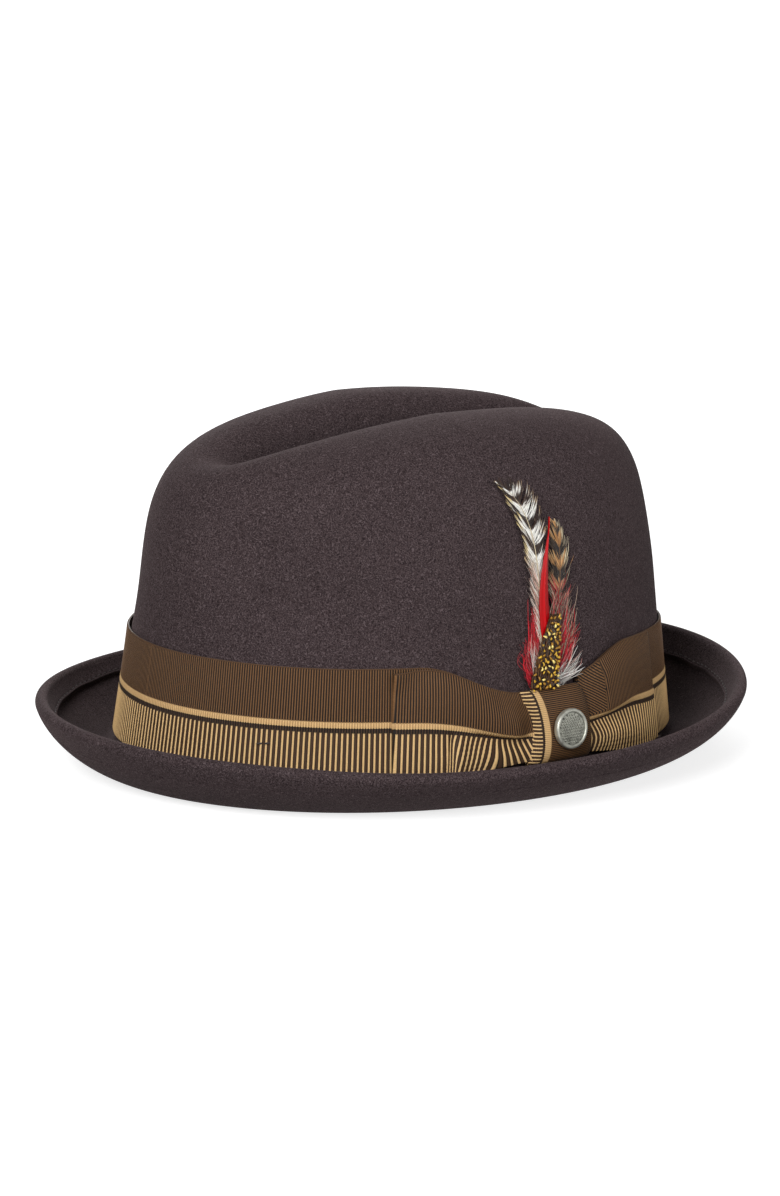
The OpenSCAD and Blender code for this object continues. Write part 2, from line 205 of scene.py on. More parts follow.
def fold_line(p):
    """Share of the brim's curve where the folded edge ends, a little uneven."""
    return FOLD_AT + 0.006 * fold_waves(brim(p, 0, 0))


# ---------------------------------------------------------------- mesh helpers


def grid_faces(nu, nv, wrap_u=False, wrap_v=False, flip=False):
    """Quads over a grid of nu rings of nv points."""
    i = np.arange(nu if wrap_u else nu - 1)[:, None]
    k = np.arange(nv if wrap_v else nv - 1)[None, :]
    j, l = (i + 1) % nu, (k + 1) % nv
    quads = np.stack([i * nv + k, i * nv + l, j * nv + l, j * nv + k], -1).reshape(-1, 4)
    return quads[:, ::-1] if flip else quads


def tube(rings, sides, flip=False, start=0):
    """Faces of a tube from point start on, its two ends shut."""
    first = [start + i for i in range(sides)]
    last = [(rings - 1) * sides + i for i in first]
    ends = [first, last[::-1]] if flip else [first[::-1], last]
    return (grid_faces(rings, sides, wrap_v=True, flip=flip) + start).tolist() + ends


def two_sided(nu, m, closed=False, flip=False):
    """Faces of a sheet made of nu loops of m points, half on its face and half on its back."""
    faces = grid_faces(nu, m, wrap_u=closed, wrap_v=True, flip=flip).tolist()
    if not closed:
        for k in range(m // 2 - 1):
            near = [k, k + 1, m - 2 - k, m - 1 - k]
            far = [(nu - 1) * m + i for i in near]
            faces += [near, far[::-1]] if flip else [near[::-1], far]
    return faces


def domed(grid, poles):
    """Points and faces of a grid that runs round, its first and last columns each closed at a pole."""
    nu, nv = grid.shape[:2]
    faces = grid_faces(nu, nv, wrap_u=True).tolist()
    for i in range(nu):
        a, b = i * nv, (i + 1) % nu * nv
        faces += [[nu * nv, a, b], [nu * nv + 1, b + nv - 1, a + nv - 1]]
    return np.concatenate([grid.reshape(-1, 3), poles]), faces


def build(name, points_mm, faces, material, body="hat", smooth=True, weave=None, tint=None):
    """A mesh object from points in mm in the shared frame, with optional values per point."""
    me = bpy.data.meshes.new(name)
    points = (np.asarray(points_mm, float).reshape(-1, 3) * MM).tolist()
    me.from_pydata(points, [], [list(map(int, f)) for f in faces])
    me.update()
    if smooth:
        me.polygons.foreach_set("use_smooth", [True] * len(me.polygons))
    if weave is not None:
        a = me.attributes.new("weave", "FLOAT_VECTOR", "POINT")
        a.data.foreach_set("vector", np.asarray(weave, np.float32).reshape(-1))
    if tint is not None:
        a = me.attributes.new("tint", "FLOAT_COLOR", "POINT")
        t = np.asarray(tint, np.float32).reshape(-1, 3)
        a.data.foreach_set("color", np.concatenate([t, np.ones((len(t), 1), np.float32)], 1).reshape(-1))
    o = bpy.data.objects.new(name, me)
    bpy.context.scene.collection.objects.link(o)
    me.materials.append(material)
    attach(o, body)
    return o


def srgb(*rgb):
    return tuple(((c / 255 + 0.055) / 1.055) ** 2.4 if c > 10 else c / 255 / 12.92 for c in rgb) + (1.0,)


class Paint:
    """Short way to write node materials."""

    def __init__(self, name):
        self.mat = bpy.data.materials.new(name)
        self.mat.use_nodes = True
        self.nt = self.mat.node_tree
        self.nt.nodes.clear()
        self.out = self.nt.nodes.new("ShaderNodeOutputMaterial")
        self.bsdf = self.nt.nodes.new("ShaderNodeBsdfPrincipled")
        self.nt.links.new(self.bsdf.outputs[0], self.out.inputs[0])

    def node(self, kind, values=None, **props):
        n = self.nt.nodes.new("ShaderNode" + kind)
        for k, v in props.items():
            setattr(n, k, v)
        for k, v in (values or {}).items():
            self.set(n, k, v)
        return n

    def set(self, n, key, value):
        socket = n.inputs[key]
        if isinstance(value, bpy.types.NodeSocket):
            self.nt.links.new(value, socket)
        else:
            socket.default_value = value

    def noise(self, vector, scale, detail=2.0, rough=0.5):
        n = self.node("TexNoise", {"Scale": scale, "Detail": detail, "Roughness": rough})
        self.set(n, "Vector", vector)
        return n.outputs["Fac"]

    def math(self, op, a, b=0.0):
        n = self.node("Math", operation=op)
        self.set(n, 0, a)
        self.set(n, 1, b)
        return n.outputs[0]

    def mix(self, fac, a, b, blend="MIX"):
        n = self.node("Mix", data_type="RGBA", blend_type=blend, clamp_factor=True)
        self.set(n, 0, fac)
        self.set(n, 6, a)
        self.set(n, 7, b)
        return n.outputs[2]

    def ramp(self, fac, a, low, b, high):
        """Colour low up to a, high from b on."""
        n = self.node("ValToRGB")
        for e, position, colour in zip(n.color_ramp.elements, (a, b), (low, high)):
            e.position = position
            e.color = colour
        self.set(n, 0, fac)
        return n.outputs[0]

    def span(self, value, a, b, c=0.0, d=1.0, smooth=True):
        n = self.node("MapRange", clamp=True, interpolation_type="SMOOTHSTEP" if smooth else "LINEAR")
        for i, v in enumerate((value, a, b, c, d)):
            self.set(n, i, v)
        return n.outputs[0]

    def bump(self, height, distance, strength=1.0, normal=None):
        n = self.node("Bump", {"Strength": strength, "Distance": distance, "Height": height})
        if normal is not None:
            self.set(n, "Normal", normal)
        return n.outputs[0]

    def place(self):
        return self.node("TexCoord").outputs["Object"]

    def scaled(self, vector, scale):
        n = self.node("Mapping")
        n.inputs["Scale"].default_value = scale
        self.set(n, "Vector", vector)
        return n.outputs[0]

    def surface(self, **inputs):
        """Set the surface shader's inputs, with _ for the spaces in their names."""
        for key, value in inputs.items():
            self.set(self.bsdf, key.replace("_", " "), value)
        return self.mat


# ---------------------------------------------------------------- materials


def felt_paint():
    m = Paint("felt")
    at = m.place()
    warp = m.node("TexNoise", {"Scale": 260.0, "Detail": 2.0})
    m.set(warp, "Vector", at)
    fibre_at = m.node("VectorMath", operation="MULTIPLY_ADD")
    m.set(fibre_at, 0, warp.outputs["Color"])
    m.set(fibre_at, 1, (0.006, 0.006, 0.006))
    m.set(fibre_at, 2, at)
    grain = m.noise(at, 1850.0, 3.0, 0.75)
    fibres = m.noise(m.scaled(fibre_at.outputs[0], (1.0, 1.0, 0.4)), 3100.0, 2.0, 0.6)
    fibres_b = m.noise(m.scaled(fibre_at.outputs[0], (0.4, 0.6, 1.0)), 2900.0, 2.0, 0.6)
    cloud = m.noise(at, 38.0, 3.0, 0.55)
    base = m.ramp(cloud, 0.3, srgb(57, 47, 48), 0.7, srgb(65, 54, 55))
    dark = m.mix(m.span(grain, 0.41, 0.62), base, srgb(30, 23, 25))
    light = m.mix(m.span(m.math("MAXIMUM", fibres, fibres_b), 0.52, 0.72), dark, srgb(94, 82, 84))
    # Painted shade: the felt's colour is darkened in its own hollows, such as the crown's dent and the brim's
    # inner corner, by ambient occlusion within the felt alone.
    open_sky = m.node("AmbientOcclusion", {"Distance": 0.035}, samples=8, only_local=True).outputs["AO"]
    shade = m.span(open_sky, 0.3, 0.95, 0.42, 1.0, smooth=False)
    m.surface(Base_Color=m.mix(1.0, light, shade, "MULTIPLY"), Roughness=0.95, Specular_IOR_Level=0.06,
              Sheen_Weight=0.12, Sheen_Roughness=0.45, Sheen_Tint=srgb(190, 165, 165))
    h = m.math("ADD", m.math("MULTIPLY", grain, 0.6), m.math("MAXIMUM", fibres, fibres_b))
    return m.surface(Normal=m.bump(h, 0.00022, 0.9, m.bump(cloud, 0.0006, 0.35)))


def ribbon_paint():
    """Weave coordinates: x = mm along the ribbon, y = mm down from its plain edge, z = 1 on its face."""
    m = Paint("ribbon")
    w = m.node("Attribute", attribute_name="weave")
    xyz = m.node("SeparateXYZ", {"Vector": w.outputs["Vector"]})
    x, y = xyz.outputs[0], xyz.outputs[1]
    rib = m.math("DIVIDE", x, RIB)
    phase = m.math("FRACT", rib)
    edge = m.math("ABSOLUTE", m.math("SUBTRACT", phase, 0.5))         # 0 on the rib, 0.5 in the valley
    pair = m.math("FRACT", m.math("MULTIPLY", rib, 0.5))
    tan_rib = m.span(m.math("ABSOLUTE", m.math("SUBTRACT", pair, 0.25)), 0.22, 0.28, 1.0, 0.0)
    speck = m.noise(m.scaled(w.outputs["Vector"], (1.0, 3.2, 1.0)), 2.2, 2.0, 0.6)
    plain = m.ramp(speck, 0.3, srgb(93, 65, 38), 0.7, srgb(126, 89, 55))
    tan = m.ramp(speck, 0.3, srgb(196, 158, 106), 0.7, srgb(226, 190, 136))
    brown = m.ramp(speck, 0.3, srgb(50, 33, 21), 0.7, srgb(70, 48, 31))
    dark = m.ramp(speck, 0.3, srgb(52, 36, 25), 0.7, srgb(70, 49, 34))
    # Painted shade: each stripe's colour darkens to near black in the valleys between the ribs (half as much
    # on the tan stripe), on top of the ribs' real relief.
    valley_shade = m.span(edge, 0.1, 0.34)
    upper_part = m.mix(valley_shade, plain, srgb(11, 6, 3))
    stripe = m.mix(m.math("MULTIPLY", valley_shade, 0.5), tan, srgb(116, 82, 52))
    dark_part = m.mix(valley_shade, dark, srgb(22, 15, 11))
    lower_part = m.mix(m.span(edge, 0.27, 0.46), m.mix(tan_rib, brown, tan), srgb(20, 13, 9))
    wob = m.math("MULTIPLY", m.math("SUBTRACT", m.math("MULTIPLY", edge, edge), 0.08), 0.9)
    yy = m.math("ADD", y, wob)
    col = m.mix(m.span(yy, TAN_TOP - 0.12, TAN_TOP + 0.12), upper_part, stripe)
    col = m.mix(m.span(yy, TAN_LOW - 0.12, TAN_LOW + 0.12), col, dark_part)
    col = m.mix(m.span(yy, DARK_LOW - 0.15, DARK_LOW + 0.15), col, lower_part)
    selvedge = m.mix(0.7, plain, srgb(58, 40, 26))
    col = m.mix(m.span(yy, 0.25, 0.55, 1.0, 0.0), col, selvedge)
    m.surface(Base_Color=col, Roughness=0.6, Specular_IOR_Level=0.22, Sheen_Weight=0.03,
              Sheen_Roughness=0.4)
    thread = m.math("SINE", m.math("MULTIPLY", y, TAU / 0.42))
    cross = m.math("MULTIPLY", m.math("ADD", thread, speck), 0.25)
    return m.surface(Normal=m.bump(cross, 0.00012, 0.8))


def thread_paint():
    m = Paint("thread")
    at = m.place()
    twist = m.noise(m.scaled(at, (1.0, 1.0, 2.5)), 2600.0, 1.0)
    return m.surface(Base_Color=m.ramp(twist, 0.35, srgb(30, 24, 25), 0.65, srgb(66, 53, 53)),
                     Roughness=0.7, Normal=m.bump(twist, 0.00008, 0.8))


def pewter_paint():
    m = Paint("pewter")
    at = m.place()
    worn = m.noise(at, 420.0, 4.0, 0.6)
    fine = m.noise(at, 2600.0, 2.0)
    # Darker in small hollows, such as between the pyramids: where ambient occlusion over 0.9 mm is low, a
    # near-black grey is mixed in.
    crevice_ao = m.node("AmbientOcclusion", {"Distance": 0.0009}, samples=8)
    open_air = m.span(crevice_ao.outputs["AO"], 0.4, 0.9)
    metal = m.ramp(worn, 0.35, srgb(168, 168, 158), 0.65, srgb(204, 204, 192))
    return m.surface(Base_Color=m.mix(open_air, srgb(40, 41, 38), metal), Metallic=0.7,
                     Roughness=m.span(worn, 0.3, 0.7, 0.32, 0.5), Normal=m.bump(fine, 0.00004, 0.5))


def feather_paint(name, rough=0.55, sheen=0.1, specular=0.35):
    m = Paint(name)
    tint = m.node("Attribute", attribute_name="tint")
    streak = m.noise(m.place(), 1800.0, 1.0)
    shaded = m.mix(0.25, tint.outputs["Color"], (0.02, 0.015, 0.012, 1))
    return m.surface(Base_Color=m.mix(m.span(streak, 0.35, 0.7, 0.0, 0.4), tint.outputs["Color"], shaded),
                     Roughness=rough, Sheen_Weight=sheen, Specular_IOR_Level=specular)


def leather_paint():
    m = Paint("leather")
    at = m.place()
    cells = m.node("TexVoronoi", {"Scale": 1150.0}, feature="DISTANCE_TO_EDGE")
    m.set(cells, "Vector", at)
    pores = m.span(cells.outputs["Distance"], 0.0, 0.16)
    cloud = m.noise(at, 60.0, 3.0)
    col = m.ramp(cloud, 0.3, srgb(72, 47, 32), 0.7, srgb(98, 66, 45))
    worn = m.math("MULTIPLY", m.math("SUBTRACT", 1.0, pores), 0.5)
    return m.surface(Base_Color=m.mix(worn, col, srgb(38, 24, 16)),
                     Roughness=m.span(cloud, 0.3, 0.7, 0.42, 0.58), Normal=m.bump(pores, 0.00008, 0.6))


def satin_paint():
    m = Paint("satin")
    at = m.place()
    weave = m.node("TexWave", {"Scale": 900.0, "Distortion": 0.4}, bands_direction="Z")
    m.set(weave, "Vector", at)
    cloud = m.noise(at, 25.0, 2.0)
    return m.surface(Base_Color=m.ramp(cloud, 0.3, srgb(72, 62, 62), 0.7, srgb(88, 76, 75)),
                     Roughness=0.34, Specular_IOR_Level=0.5, Sheen_Weight=0.3,
                     Normal=m.bump(weave.outputs["Fac"], 0.00004, 0.35))


def cord_paint(name, a, b):
    m = Paint(name)
    at = m.place()
    wrap = m.noise(m.scaled(at, (1.0, 1.0, 0.4)), 1900.0, 1.0)
    return m.surface(Base_Color=m.ramp(wrap, 0.35, srgb(*a), 0.65, srgb(*b)), Roughness=0.5,
                     Normal=m.bump(wrap, 0.0001, 0.5))


def label_paint():
    m = Paint("label")
    at = m.place()
    wx = m.node("TexWave", {"Scale": 1100.0}, bands_direction="Z")
    wy = m.node("TexWave", {"Scale": 1100.0}, bands_direction="X")
    m.set(wx, "Vector", at)
    m.set(wy, "Vector", at)
    weave = m.math("MULTIPLY", wx.outputs["Fac"], wy.outputs["Fac"])
    return m.surface(Base_Color=m.ramp(weave, 0.1, srgb(186, 178, 160), 0.7, srgb(224, 218, 204)),
                     Roughness=0.8, Normal=m.bump(weave, 0.00006, 0.6))


def floor_paint():
    m = Paint("floor")
    speck = m.noise(m.place(), 3.0, 3.0)
    m.surface(Base_Color=m.ramp(speck, 0.3, (0.49, 0.49, 0.49, 1), 0.7, (0.5, 0.5, 0.5, 1)),
              Roughness=0.8, Emission_Color=(1.0, 1.0, 1.0, 1.0))
    # Painted light: the floor glows white, weaker near the hat and stronger far from it.
    far = m.node("VectorMath", operation="LENGTH")
    m.set(far, 0, m.place())
    return m.surface(Emission_Strength=m.span(far.outputs["Value"], 0.4, 2.5, 0.75, 1.0))


FELT = felt_paint()
RIBBON = ribbon_paint()
THREAD = thread_paint()
PEWTER = pewter_paint()
FEATHER = feather_paint("feather")
GLOSSY_FEATHER = feather_paint("feather_gold", 0.3, 0.0)
RED_FEATHER = feather_paint("feather_red", 0.38, 0.0, 0.16)
LEATHER = leather_paint()
SATIN = satin_paint()
PIPING = cord_paint("piping", (112, 84, 58), (150, 118, 84))
REED = cord_paint("reed", (40, 27, 20), (58, 40, 29))
QUILL = cord_paint("quill", (196, 180, 148), (224, 212, 186))
LABEL = label_paint()

# ---------------------------------------------------------------- felt body


def felt_body():
    nu = 720
    p = np.arange(nu)[:, None] * TAU / nu
    lift = 0.35 * waves(11, 10, 60, 160)(brim(p, 0, 0))
    fold = fold_line(p)
    dimple = 0.55 + 0.45 * np.cos(STITCHES * p)
    outer = crown_row(p, np.linspace(1, 0, 150)[None, 1:], 0.0)

    fe, fz = upper(p, FILLET_AT, FELT_T)
    base = around(p, BREAK_Z)
    b = np.linspace(0, math.pi / 2, 14)[None, 1:-1]
    fillet = brim(p, fe * (1 - np.cos(b)), fz + (base - fz) * (1 - np.sin(b)))

    def thickness(a):
        d = (a - fold) / 0.012
        step = 1 / (1 + np.exp(-np.clip(d, -40, 40) * 2.2))
        lip = 0.25 * np.exp(-((d - 2.2) ** 2) / 3)
        groove = 0.4 * bump(a, fold + SEAM_STEP, 0.012) * dimple
        return FELT_T + (2 * EDGE_R - FELT_T) * step + lip - groove

    a = np.concatenate([np.linspace(FILLET_AT, 0.66, 34), np.linspace(0.668, 0.8, 46),
                        np.linspace(0.81, 0.99, 16)])[None, :]
    e, z = upper(p, a, thickness(a))
    top = brim(p, e, z + lift * a**2)
    q = np.linspace(math.pi, 0, 28)[None, :]
    be = around(p, REACH) - EDGE_R + EDGE_R * np.sin(EDGE_ANGLE + q)
    bz = around(p, CURL) - EDGE_R - EDGE_R * np.cos(EDGE_ANGLE + q)
    bead = brim(p, be, bz + lift)
    a = np.concatenate([np.linspace(0.99, 0.8, 20), np.linspace(0.795, 0.7, 30),
                        np.linspace(0.68, 0.0, 34)])[None, :]
    e, z = upper(p, a, 0.3 * bump(a, fold + SEAM_STEP, 0.013) * dimple)
    bottom = brim(p, e, np.where(a < 1e-6, 0, z) + lift * a**2)
    b = np.linspace(0, math.pi / 2, 7)[None, :]
    lip = brim(p, 1 - FELT_T - np.sin(b), 1 - np.cos(b))
    inner = crown_row(p, np.linspace(0, 1, 70)[None, :-1], FELT_T)
    rings = np.concatenate([outer, fillet, top, bead, bottom, lip, inner], 1)
    o = build("felt", *domed(rings, [crown_top(0.0), crown_top(FELT_T)]), FELT)
    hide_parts("felt_body")


# ---------------------------------------------------------------- threads


def capsule_chain(name, centres, directions, normals, length, radius, sides=6, rings=7, sag=0.25):
    """Many short stitches as one mesh: each is a bent tapered capsule lying along its direction."""
    pts, faces = [], []
    u = np.linspace(-1, 1, rings)
    prof = np.sqrt(np.clip(1 - np.abs(u) ** 5, 0.02, 1))
    ang = np.arange(sides) * TAU / sides
    for c, d, n in zip(centres, directions, normals):
        d = d / np.linalg.norm(d)
        n = n - d * (n @ d)
        n = n / np.linalg.norm(n)
        s = np.cross(d, n)
        faces += tube(rings, sides, start=len(pts))
        for ui, ri in zip(u, prof):
            mid = c + d * ui * length / 2 - n * sag * ui * ui
            pts += [mid + radius * ri * (math.cos(t) * n + math.sin(t) * s) for t in ang]
    return build(name, np.array(pts), faces, THREAD)


def brim_stitches():
    p = (np.arange(STITCHES) + 0.5) * TAU / STITCHES
    a = fold_line(p) + SEAM_STEP
    e, z = upper(p, a, 2 * EDGE_R - 0.05)
    at = brim(p, e, z)
    along = brim(p + 0.01, e, z) - at
    outwards = brim(p, *upper(p, a, 2 * EDGE_R + 1)) - at
    o = capsule_chain("brim_stitches", at, along, outwards, 2.9, 0.28)
    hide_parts("brim_edge_stitching")


# ---------------------------------------------------------------- ribbon

# rows down the ribbon, in mm from its plain edge, closer at the stripes
ROWS = np.array([0, 0.12, 0.35, 0.7, 2, 4, 6, 8, 10, 12, 14, 16, 17.3, 17.85, 18.15, 19, 19.85, 20.15, 20.9,
                 21.5, 21.9, 22.6, 24, 26, 28, 30, 32, 34, 36, 37.2, 37.7, 37.9, 38.0])
PER_RIB = 6


def rib_height(x, y):
    """How far the ribs stand out, at x mm along and y mm down the ribbon."""
    phase = x / RIB
    ridge = np.abs(np.sin(math.pi * phase)) ** 0.7
    tall = 0.5 + 0.5 * np.cos(math.pi * (phase - 0.5))
    low = 0.18 * ridge + 0.2 * ridge * tall
    high = 0.31 * ridge
    t = ease(DARK_LOW - 0.2, DARK_LOW + 0.3, y)
    h = high * (1 - t) + low * t
    h = h + 0.07 * (ease(TAN_TOP - 0.2, TAN_TOP + 0.1, y) - ease(TAN_LOW - 0.1, TAN_LOW + 0.2, y))
    ends = np.minimum(ease(-0.02, 0.4, y), ease(38.02, 37.6, y))
    return h * (0.35 + 0.65 * ends) - 0.18 * (1 - ends)


def strip(name, centre, x, closed=False, rows=ROWS, mirror=False, bow=None, relief=1.0):
    """A ribbon: centre(x, y) gives its middle surface, x mm along it and y mm down from its plain edge.

    bow(away, y) is how far its ribs lean, where away is 0 at both ends and 1 at the fold halfway.
    """
    xx, yy = np.meshgrid(x, rows, indexing="ij")
    mid = centre(xx, yy)
    du = np.roll(mid, -1, 0) - np.roll(mid, 1, 0) if closed else np.gradient(mid, axis=0)
    n = unit(np.cross(np.gradient(mid, axis=1), du)) * (-1 if mirror else 1)
    wx = xx
    if bow is not None:
        half = x[-1] / 2
        to_dark_rib = (1.5 - half / RIB % 2) * RIB
        wx = xx + to_dark_rib + bow(1 - np.abs(xx - half) / half, yy) * np.sign(xx - half)
    face = mid + n * (RIBBON_T / 2 - RIB_ROOT + relief * rib_height(wx, yy))[..., None]
    back = mid + n * (0.1 - RIBBON_T / 2)
    ring = np.concatenate([face, back[:, ::-1]], 1)
    weave = np.stack([wx, yy, 1 + 0 * wx], -1)
    weave = np.concatenate([weave, (weave * (1, 1, 0))[:, ::-1]], 1)
    o = build(name, ring, two_sided(len(x), 2 * len(rows), closed, mirror), RIBBON, weave=weave)
    return o


def hat_band():
    fine = np.linspace(-math.pi / 2, 1.5 * math.pi, 6001)
    ring = wall(fine, 20.0, 0.8)
    run = np.concatenate([[0], np.cumsum(np.linalg.norm(np.diff(ring, axis=0), axis=1))])
    ribs = 2 * round(run[-1] / RIB / 2)
    x = np.arange(ribs * PER_RIB) / PER_RIB * RIB
    angle = np.interp(x * run[-1] / (ribs * RIB), run, fine)
    slack = waves(31, 8, 25, 70)

    def centre(xx, yy):
        p = np.interp(xx, x, angle)
        y = HALF_L * np.sin(p)
        on_left = np.cos(p) > 0
        g = np.where(on_left, gathered(y), 0)
        low, high = BAND_BASE + LIFT_H * g, BAND_BASE + RIBBON_W - GATHER_H * g
        h = high - (high - low) * yy / RIBBON_W
        pts = wall(p, h, np.where(on_left, stand(y), RIBBON_CLEAR) + RIBBON_T / 2)
        pts[..., 2] += 0.12 * slack(pts)
        return pts

    o = strip("hat_band", centre, x, closed=True)
    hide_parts("hat_band")


def wing(name, node, fold_y, knot_side, shape, bow):
    """A bow wing: folded ribbon from the knot out along the back layer, round the fold and back over it."""
    out = np.sign(fold_y - knot_side)
    length = abs(fold_y - knot_side)
    back_gap = 1.5 * RIBBON_T + 0.35
    turn = 0.97

    def centre(xx, yy):
        y = np.where(xx < length, knot_side + out * xx, fold_y - out * (xx - length - turn))
        t = np.clip((xx - length) / turn, 0, 1)
        y = np.where((xx >= length) & (xx <= length + turn), fold_y + out * 0.62 * np.sin(math.pi * t), y)
        layer = 0.5 - 0.5 * np.cos(math.pi * t)
        away = np.clip((y - knot_side) / (fold_y - knot_side), 0, 1)     # 0 at the knot, 1 at the fold
        h, lift = shape(y, away, yy / RIBBON_W, layer)
        full = 1.5 * np.sin(math.pi * away) ** 0.8 * ease(0.0, 0.14, yy / RIBBON_W)
        return left(y, h, stand(y) + back_gap + layer * (1.1 * RIBBON_T + full) + lift)

    total = 2 * length + turn
    ribs = round(total / RIB)
    x = np.linspace(0, total, ribs * PER_RIB + 1)
    o = strip(name, centre, x, mirror=out > 0, bow=bow)
    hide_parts(node)


def front_shape(y, away, v, layer):
    """Height and lift of the front wing at v = 0..1 down the ribbon."""
    g = ease(-42, -2, y)
    high, low = BAND_BASE + RIBBON_W - GATHER_H * g, BAND_BASE + LIFT_H * g
    middle = (high + low) / 2 - 2.4 * g * g
    h = np.where(v < 0.5, high + (middle - high) * v * 2, middle + (low - middle) * (2 * v - 1))
    corner = ease(0.84, 1.0, away) * ease(0.22, 0.0, v)
    h = h - 1.5 * ease(0.6, 1.0, away) * ease(0.45, 0.0, v)
    h = h + 0.5 * layer * ease(0.1, 0.0, v)
    near = ease(0.6, 0.1, away) * ease(0.03, 0.2, away)
    mid = ease(0.95, 0.5, away) * ease(0.12, 0.4, away)
    above = 3.1 * ease(0.05, 0.36, v) * ease(0.53, 0.48, v)
    below = 1.2 * ease(0.47, 0.53, v) * ease(0.9, 0.62, v)
    lift = near * (above - below)
    lift = lift + mid * (0.8 * bump(v, 0.3, 0.2) - 0.5 * bump(v, 0.62, 0.1) + 0.35 * bump(v, 0.85, 0.1))
    lift = lift - 0.9 * bump(away, 0.64 + 0.07 * (v - 0.6), 0.022) * ease(0.5, 0.66, v)
    lift = lift + 0.8 * bump(away, 0.57 + 0.09 * (v - 0.6), 0.05) * ease(0.52, 0.7, v)
    lift = lift + 1.7 * corner - 0.7 * ease(0.68, 0.86, away) * ease(1.0, 0.9, away) * bump(v, 0.1, 0.1)
    return h, layer * lift - 0.15 * (1 - layer) * near


def rear_shape(y, away, v, layer):
    g_top = 1 - ease(10, 52, y)
    g_low = 1 - ease(18, 56, y)
    high, low = BAND_BASE + RIBBON_W - GATHER_H * g_top, BAND_BASE + LIFT_H * g_low
    high = np.where(layer < 0.5, high - 1.2 * g_top, high)
    middle = (high + low) / 2 - 2.4 * ease(70, 25, y)
    h = np.where(v < 0.5, high + (middle - high) * v * 2, middle + (low - middle) * (2 * v - 1))
    h = h - 1.9 * ease(0.5, 1.0, away) * np.sin(math.pi * v)
    crease = np.clip((y - 24.5) / 9.5, 0, 1) * ease(60, 34, y)
    near = ease(0.85, 0.1, away)
    h = h + 0.7 * layer * ease(0.1, 0.0, v)
    lift = 2.2 * crease * ease(0.55, 0.46, v) * ease(-0.15, 0.15, v)
    lift = lift - 0.8 * near * ease(0.46, 0.54, v) * ease(0.8, 0.6, v)
    lift = lift + 1.2 * near * bump(v, 0.8, 0.16) * ease(23.5, 30, y)
    return h, layer * lift


def front_bow(away, y):
    """How far the ribs lean, in mm along the ribbon."""
    pleat = ease(0.66, 0.6, away) * ease(0.25, 0.45, away)
    return (y - 19) / 19 * (0.5 + 4.2 * pleat * (y > 19) - 4.6 * ease(0.36, 0.0, away))


def rear_bow(away, y):
    belly = 1.7 * ease(1.0, 0.3, away) * np.sin(math.pi * np.clip((y - 19) / 19, 0, 1))
    # between the knot and the crease the plain ribs run across the wing
    turned = ease(0.235, 0.225, away) * ease(19, 17.5, y)
    across = 0.8 * (y - 9) - 8.6 * (0.23 - away)
    lean = belly + 3.2 * ease(0.5, 0.0, away) * ease(-4, 19, y)
    return lean * (1 - turned) + turned * across


def bow_knot():
    """The strip over the gathered ribbon: its length runs up the hat, its width across."""
    q = np.radians(np.linspace(-90, 80, 400))
    h = 16.7 + 12.7 * np.sign(np.sin(q)) * np.abs(np.sin(q)) ** 0.7
    off = 1.3 + 5.8 * np.clip(np.cos(q), 0, 1) ** 0.45
    run = np.concatenate([[0], np.cumsum(np.hypot(np.diff(h), np.diff(off)))])
    crowd = 1.4      # the ribbon is pushed together along its length, so its ribs lie closer here
    length = run[-1] * crowd
    ribs = int(length / RIB)
    x = np.linspace(0, length, ribs * PER_RIB + 1)
    shown = 25.0     # the strip's lower ribs are folded under, this far down from its plain edge
    stripes = [17.85, 18.15, 18.6, 19, 19.4, 19.85, 20.15, 20.6, 21.2, 21.6, 21.9]
    rows = np.concatenate([np.linspace(0.0, 17.4, 26), stripes, np.linspace(22.2, shown, 10)])
    slack = waves(41, 8, 8, 24)

    def centre(xx, yy):
        hh = np.interp(xx / crowd, run, h)
        oo = np.interp(xx / crowd, run, off)
        mid = KNOT_Y - 3.6 * (np.maximum(hh - 14, 0) / 15.5) ** 2 - 1.3 * (np.maximum(14 - hh, 0) / 10) ** 2
        half = 12.3 - 0.5 * ((hh - 14) / 15) ** 2
        u = 1 - 2 * np.interp(yy, [0, 18, 20, DARK_LOW, shown], [0, 19.3, 21.3, 21.9, shown]) / shown
        front = np.clip(1 - ((hh - 16.5) / 13) ** 2, 0, 1) ** 0.5
        roll = 1.7 * np.abs(u) ** 7 + 0.9 * np.abs(u) ** 2.5 + 1.5 * ease(-0.72, -1.0, u) ** 1.6
        y = mid + (half + 1.5 * ease(0.2, -1.0, u)) * u
        pts = left(y, hh, oo - roll * front)
        pts[..., 0] += 0.16 * slack(pts) * front
        return pts

    o = strip("bow_knot", centre, x, rows=rows, relief=1.35)
    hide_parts("bow_knot")


# ---------------------------------------------------------------- strands: barbs, wisps and petals

OUT = np.array([0.9915, 0.0, 0.1303])      # straight out of the left wall


def linear(rgb):
    c = np.asarray(rgb, float) / 255
    return np.where(c > 0.04, ((c + 0.055) / 1.055) ** 2.4, c / 12.92)


def blend(a, b, t):
    t = np.asarray(t)[..., None]
    return np.asarray(a, float) * (1 - t) + np.asarray(b, float) * t


def pick(rng, colours, n):
    return np.array(colours, float)[rng.integers(0, len(colours), n)][:, None, :]


def strand_mesh(lines, wide, thick):
    """Points and faces of flat tapering strands along lines (n, k, 3), from half sizes (n, k)."""
    n, k = lines.shape[:2]
    t = unit(np.gradient(lines, axis=1))
    side = unit(np.cross(t, OUT))
    out = np.cross(side, t)
    w, h = wide[..., None] * side, thick[..., None] * out
    ring = np.stack([lines + w, lines + h, lines - w, lines - h], 2)
    a = ((np.arange(n) * k)[:, None, None] + np.arange(k - 1)[None, :, None]) * 4
    c = np.arange(4)[None, None, :]
    d = (c + 1) % 4
    quads = np.stack(np.broadcast_arrays(a + c, a + 4 + c, a + 4 + d, a + d), -1).reshape(-1, 4)
    first = (np.arange(n) * k * 4)[:, None]
    caps = np.concatenate([first + np.arange(4), first + (k - 1) * 4 + np.arange(4)[::-1]])
    return ring.reshape(-1, 3), np.concatenate([quads, caps])


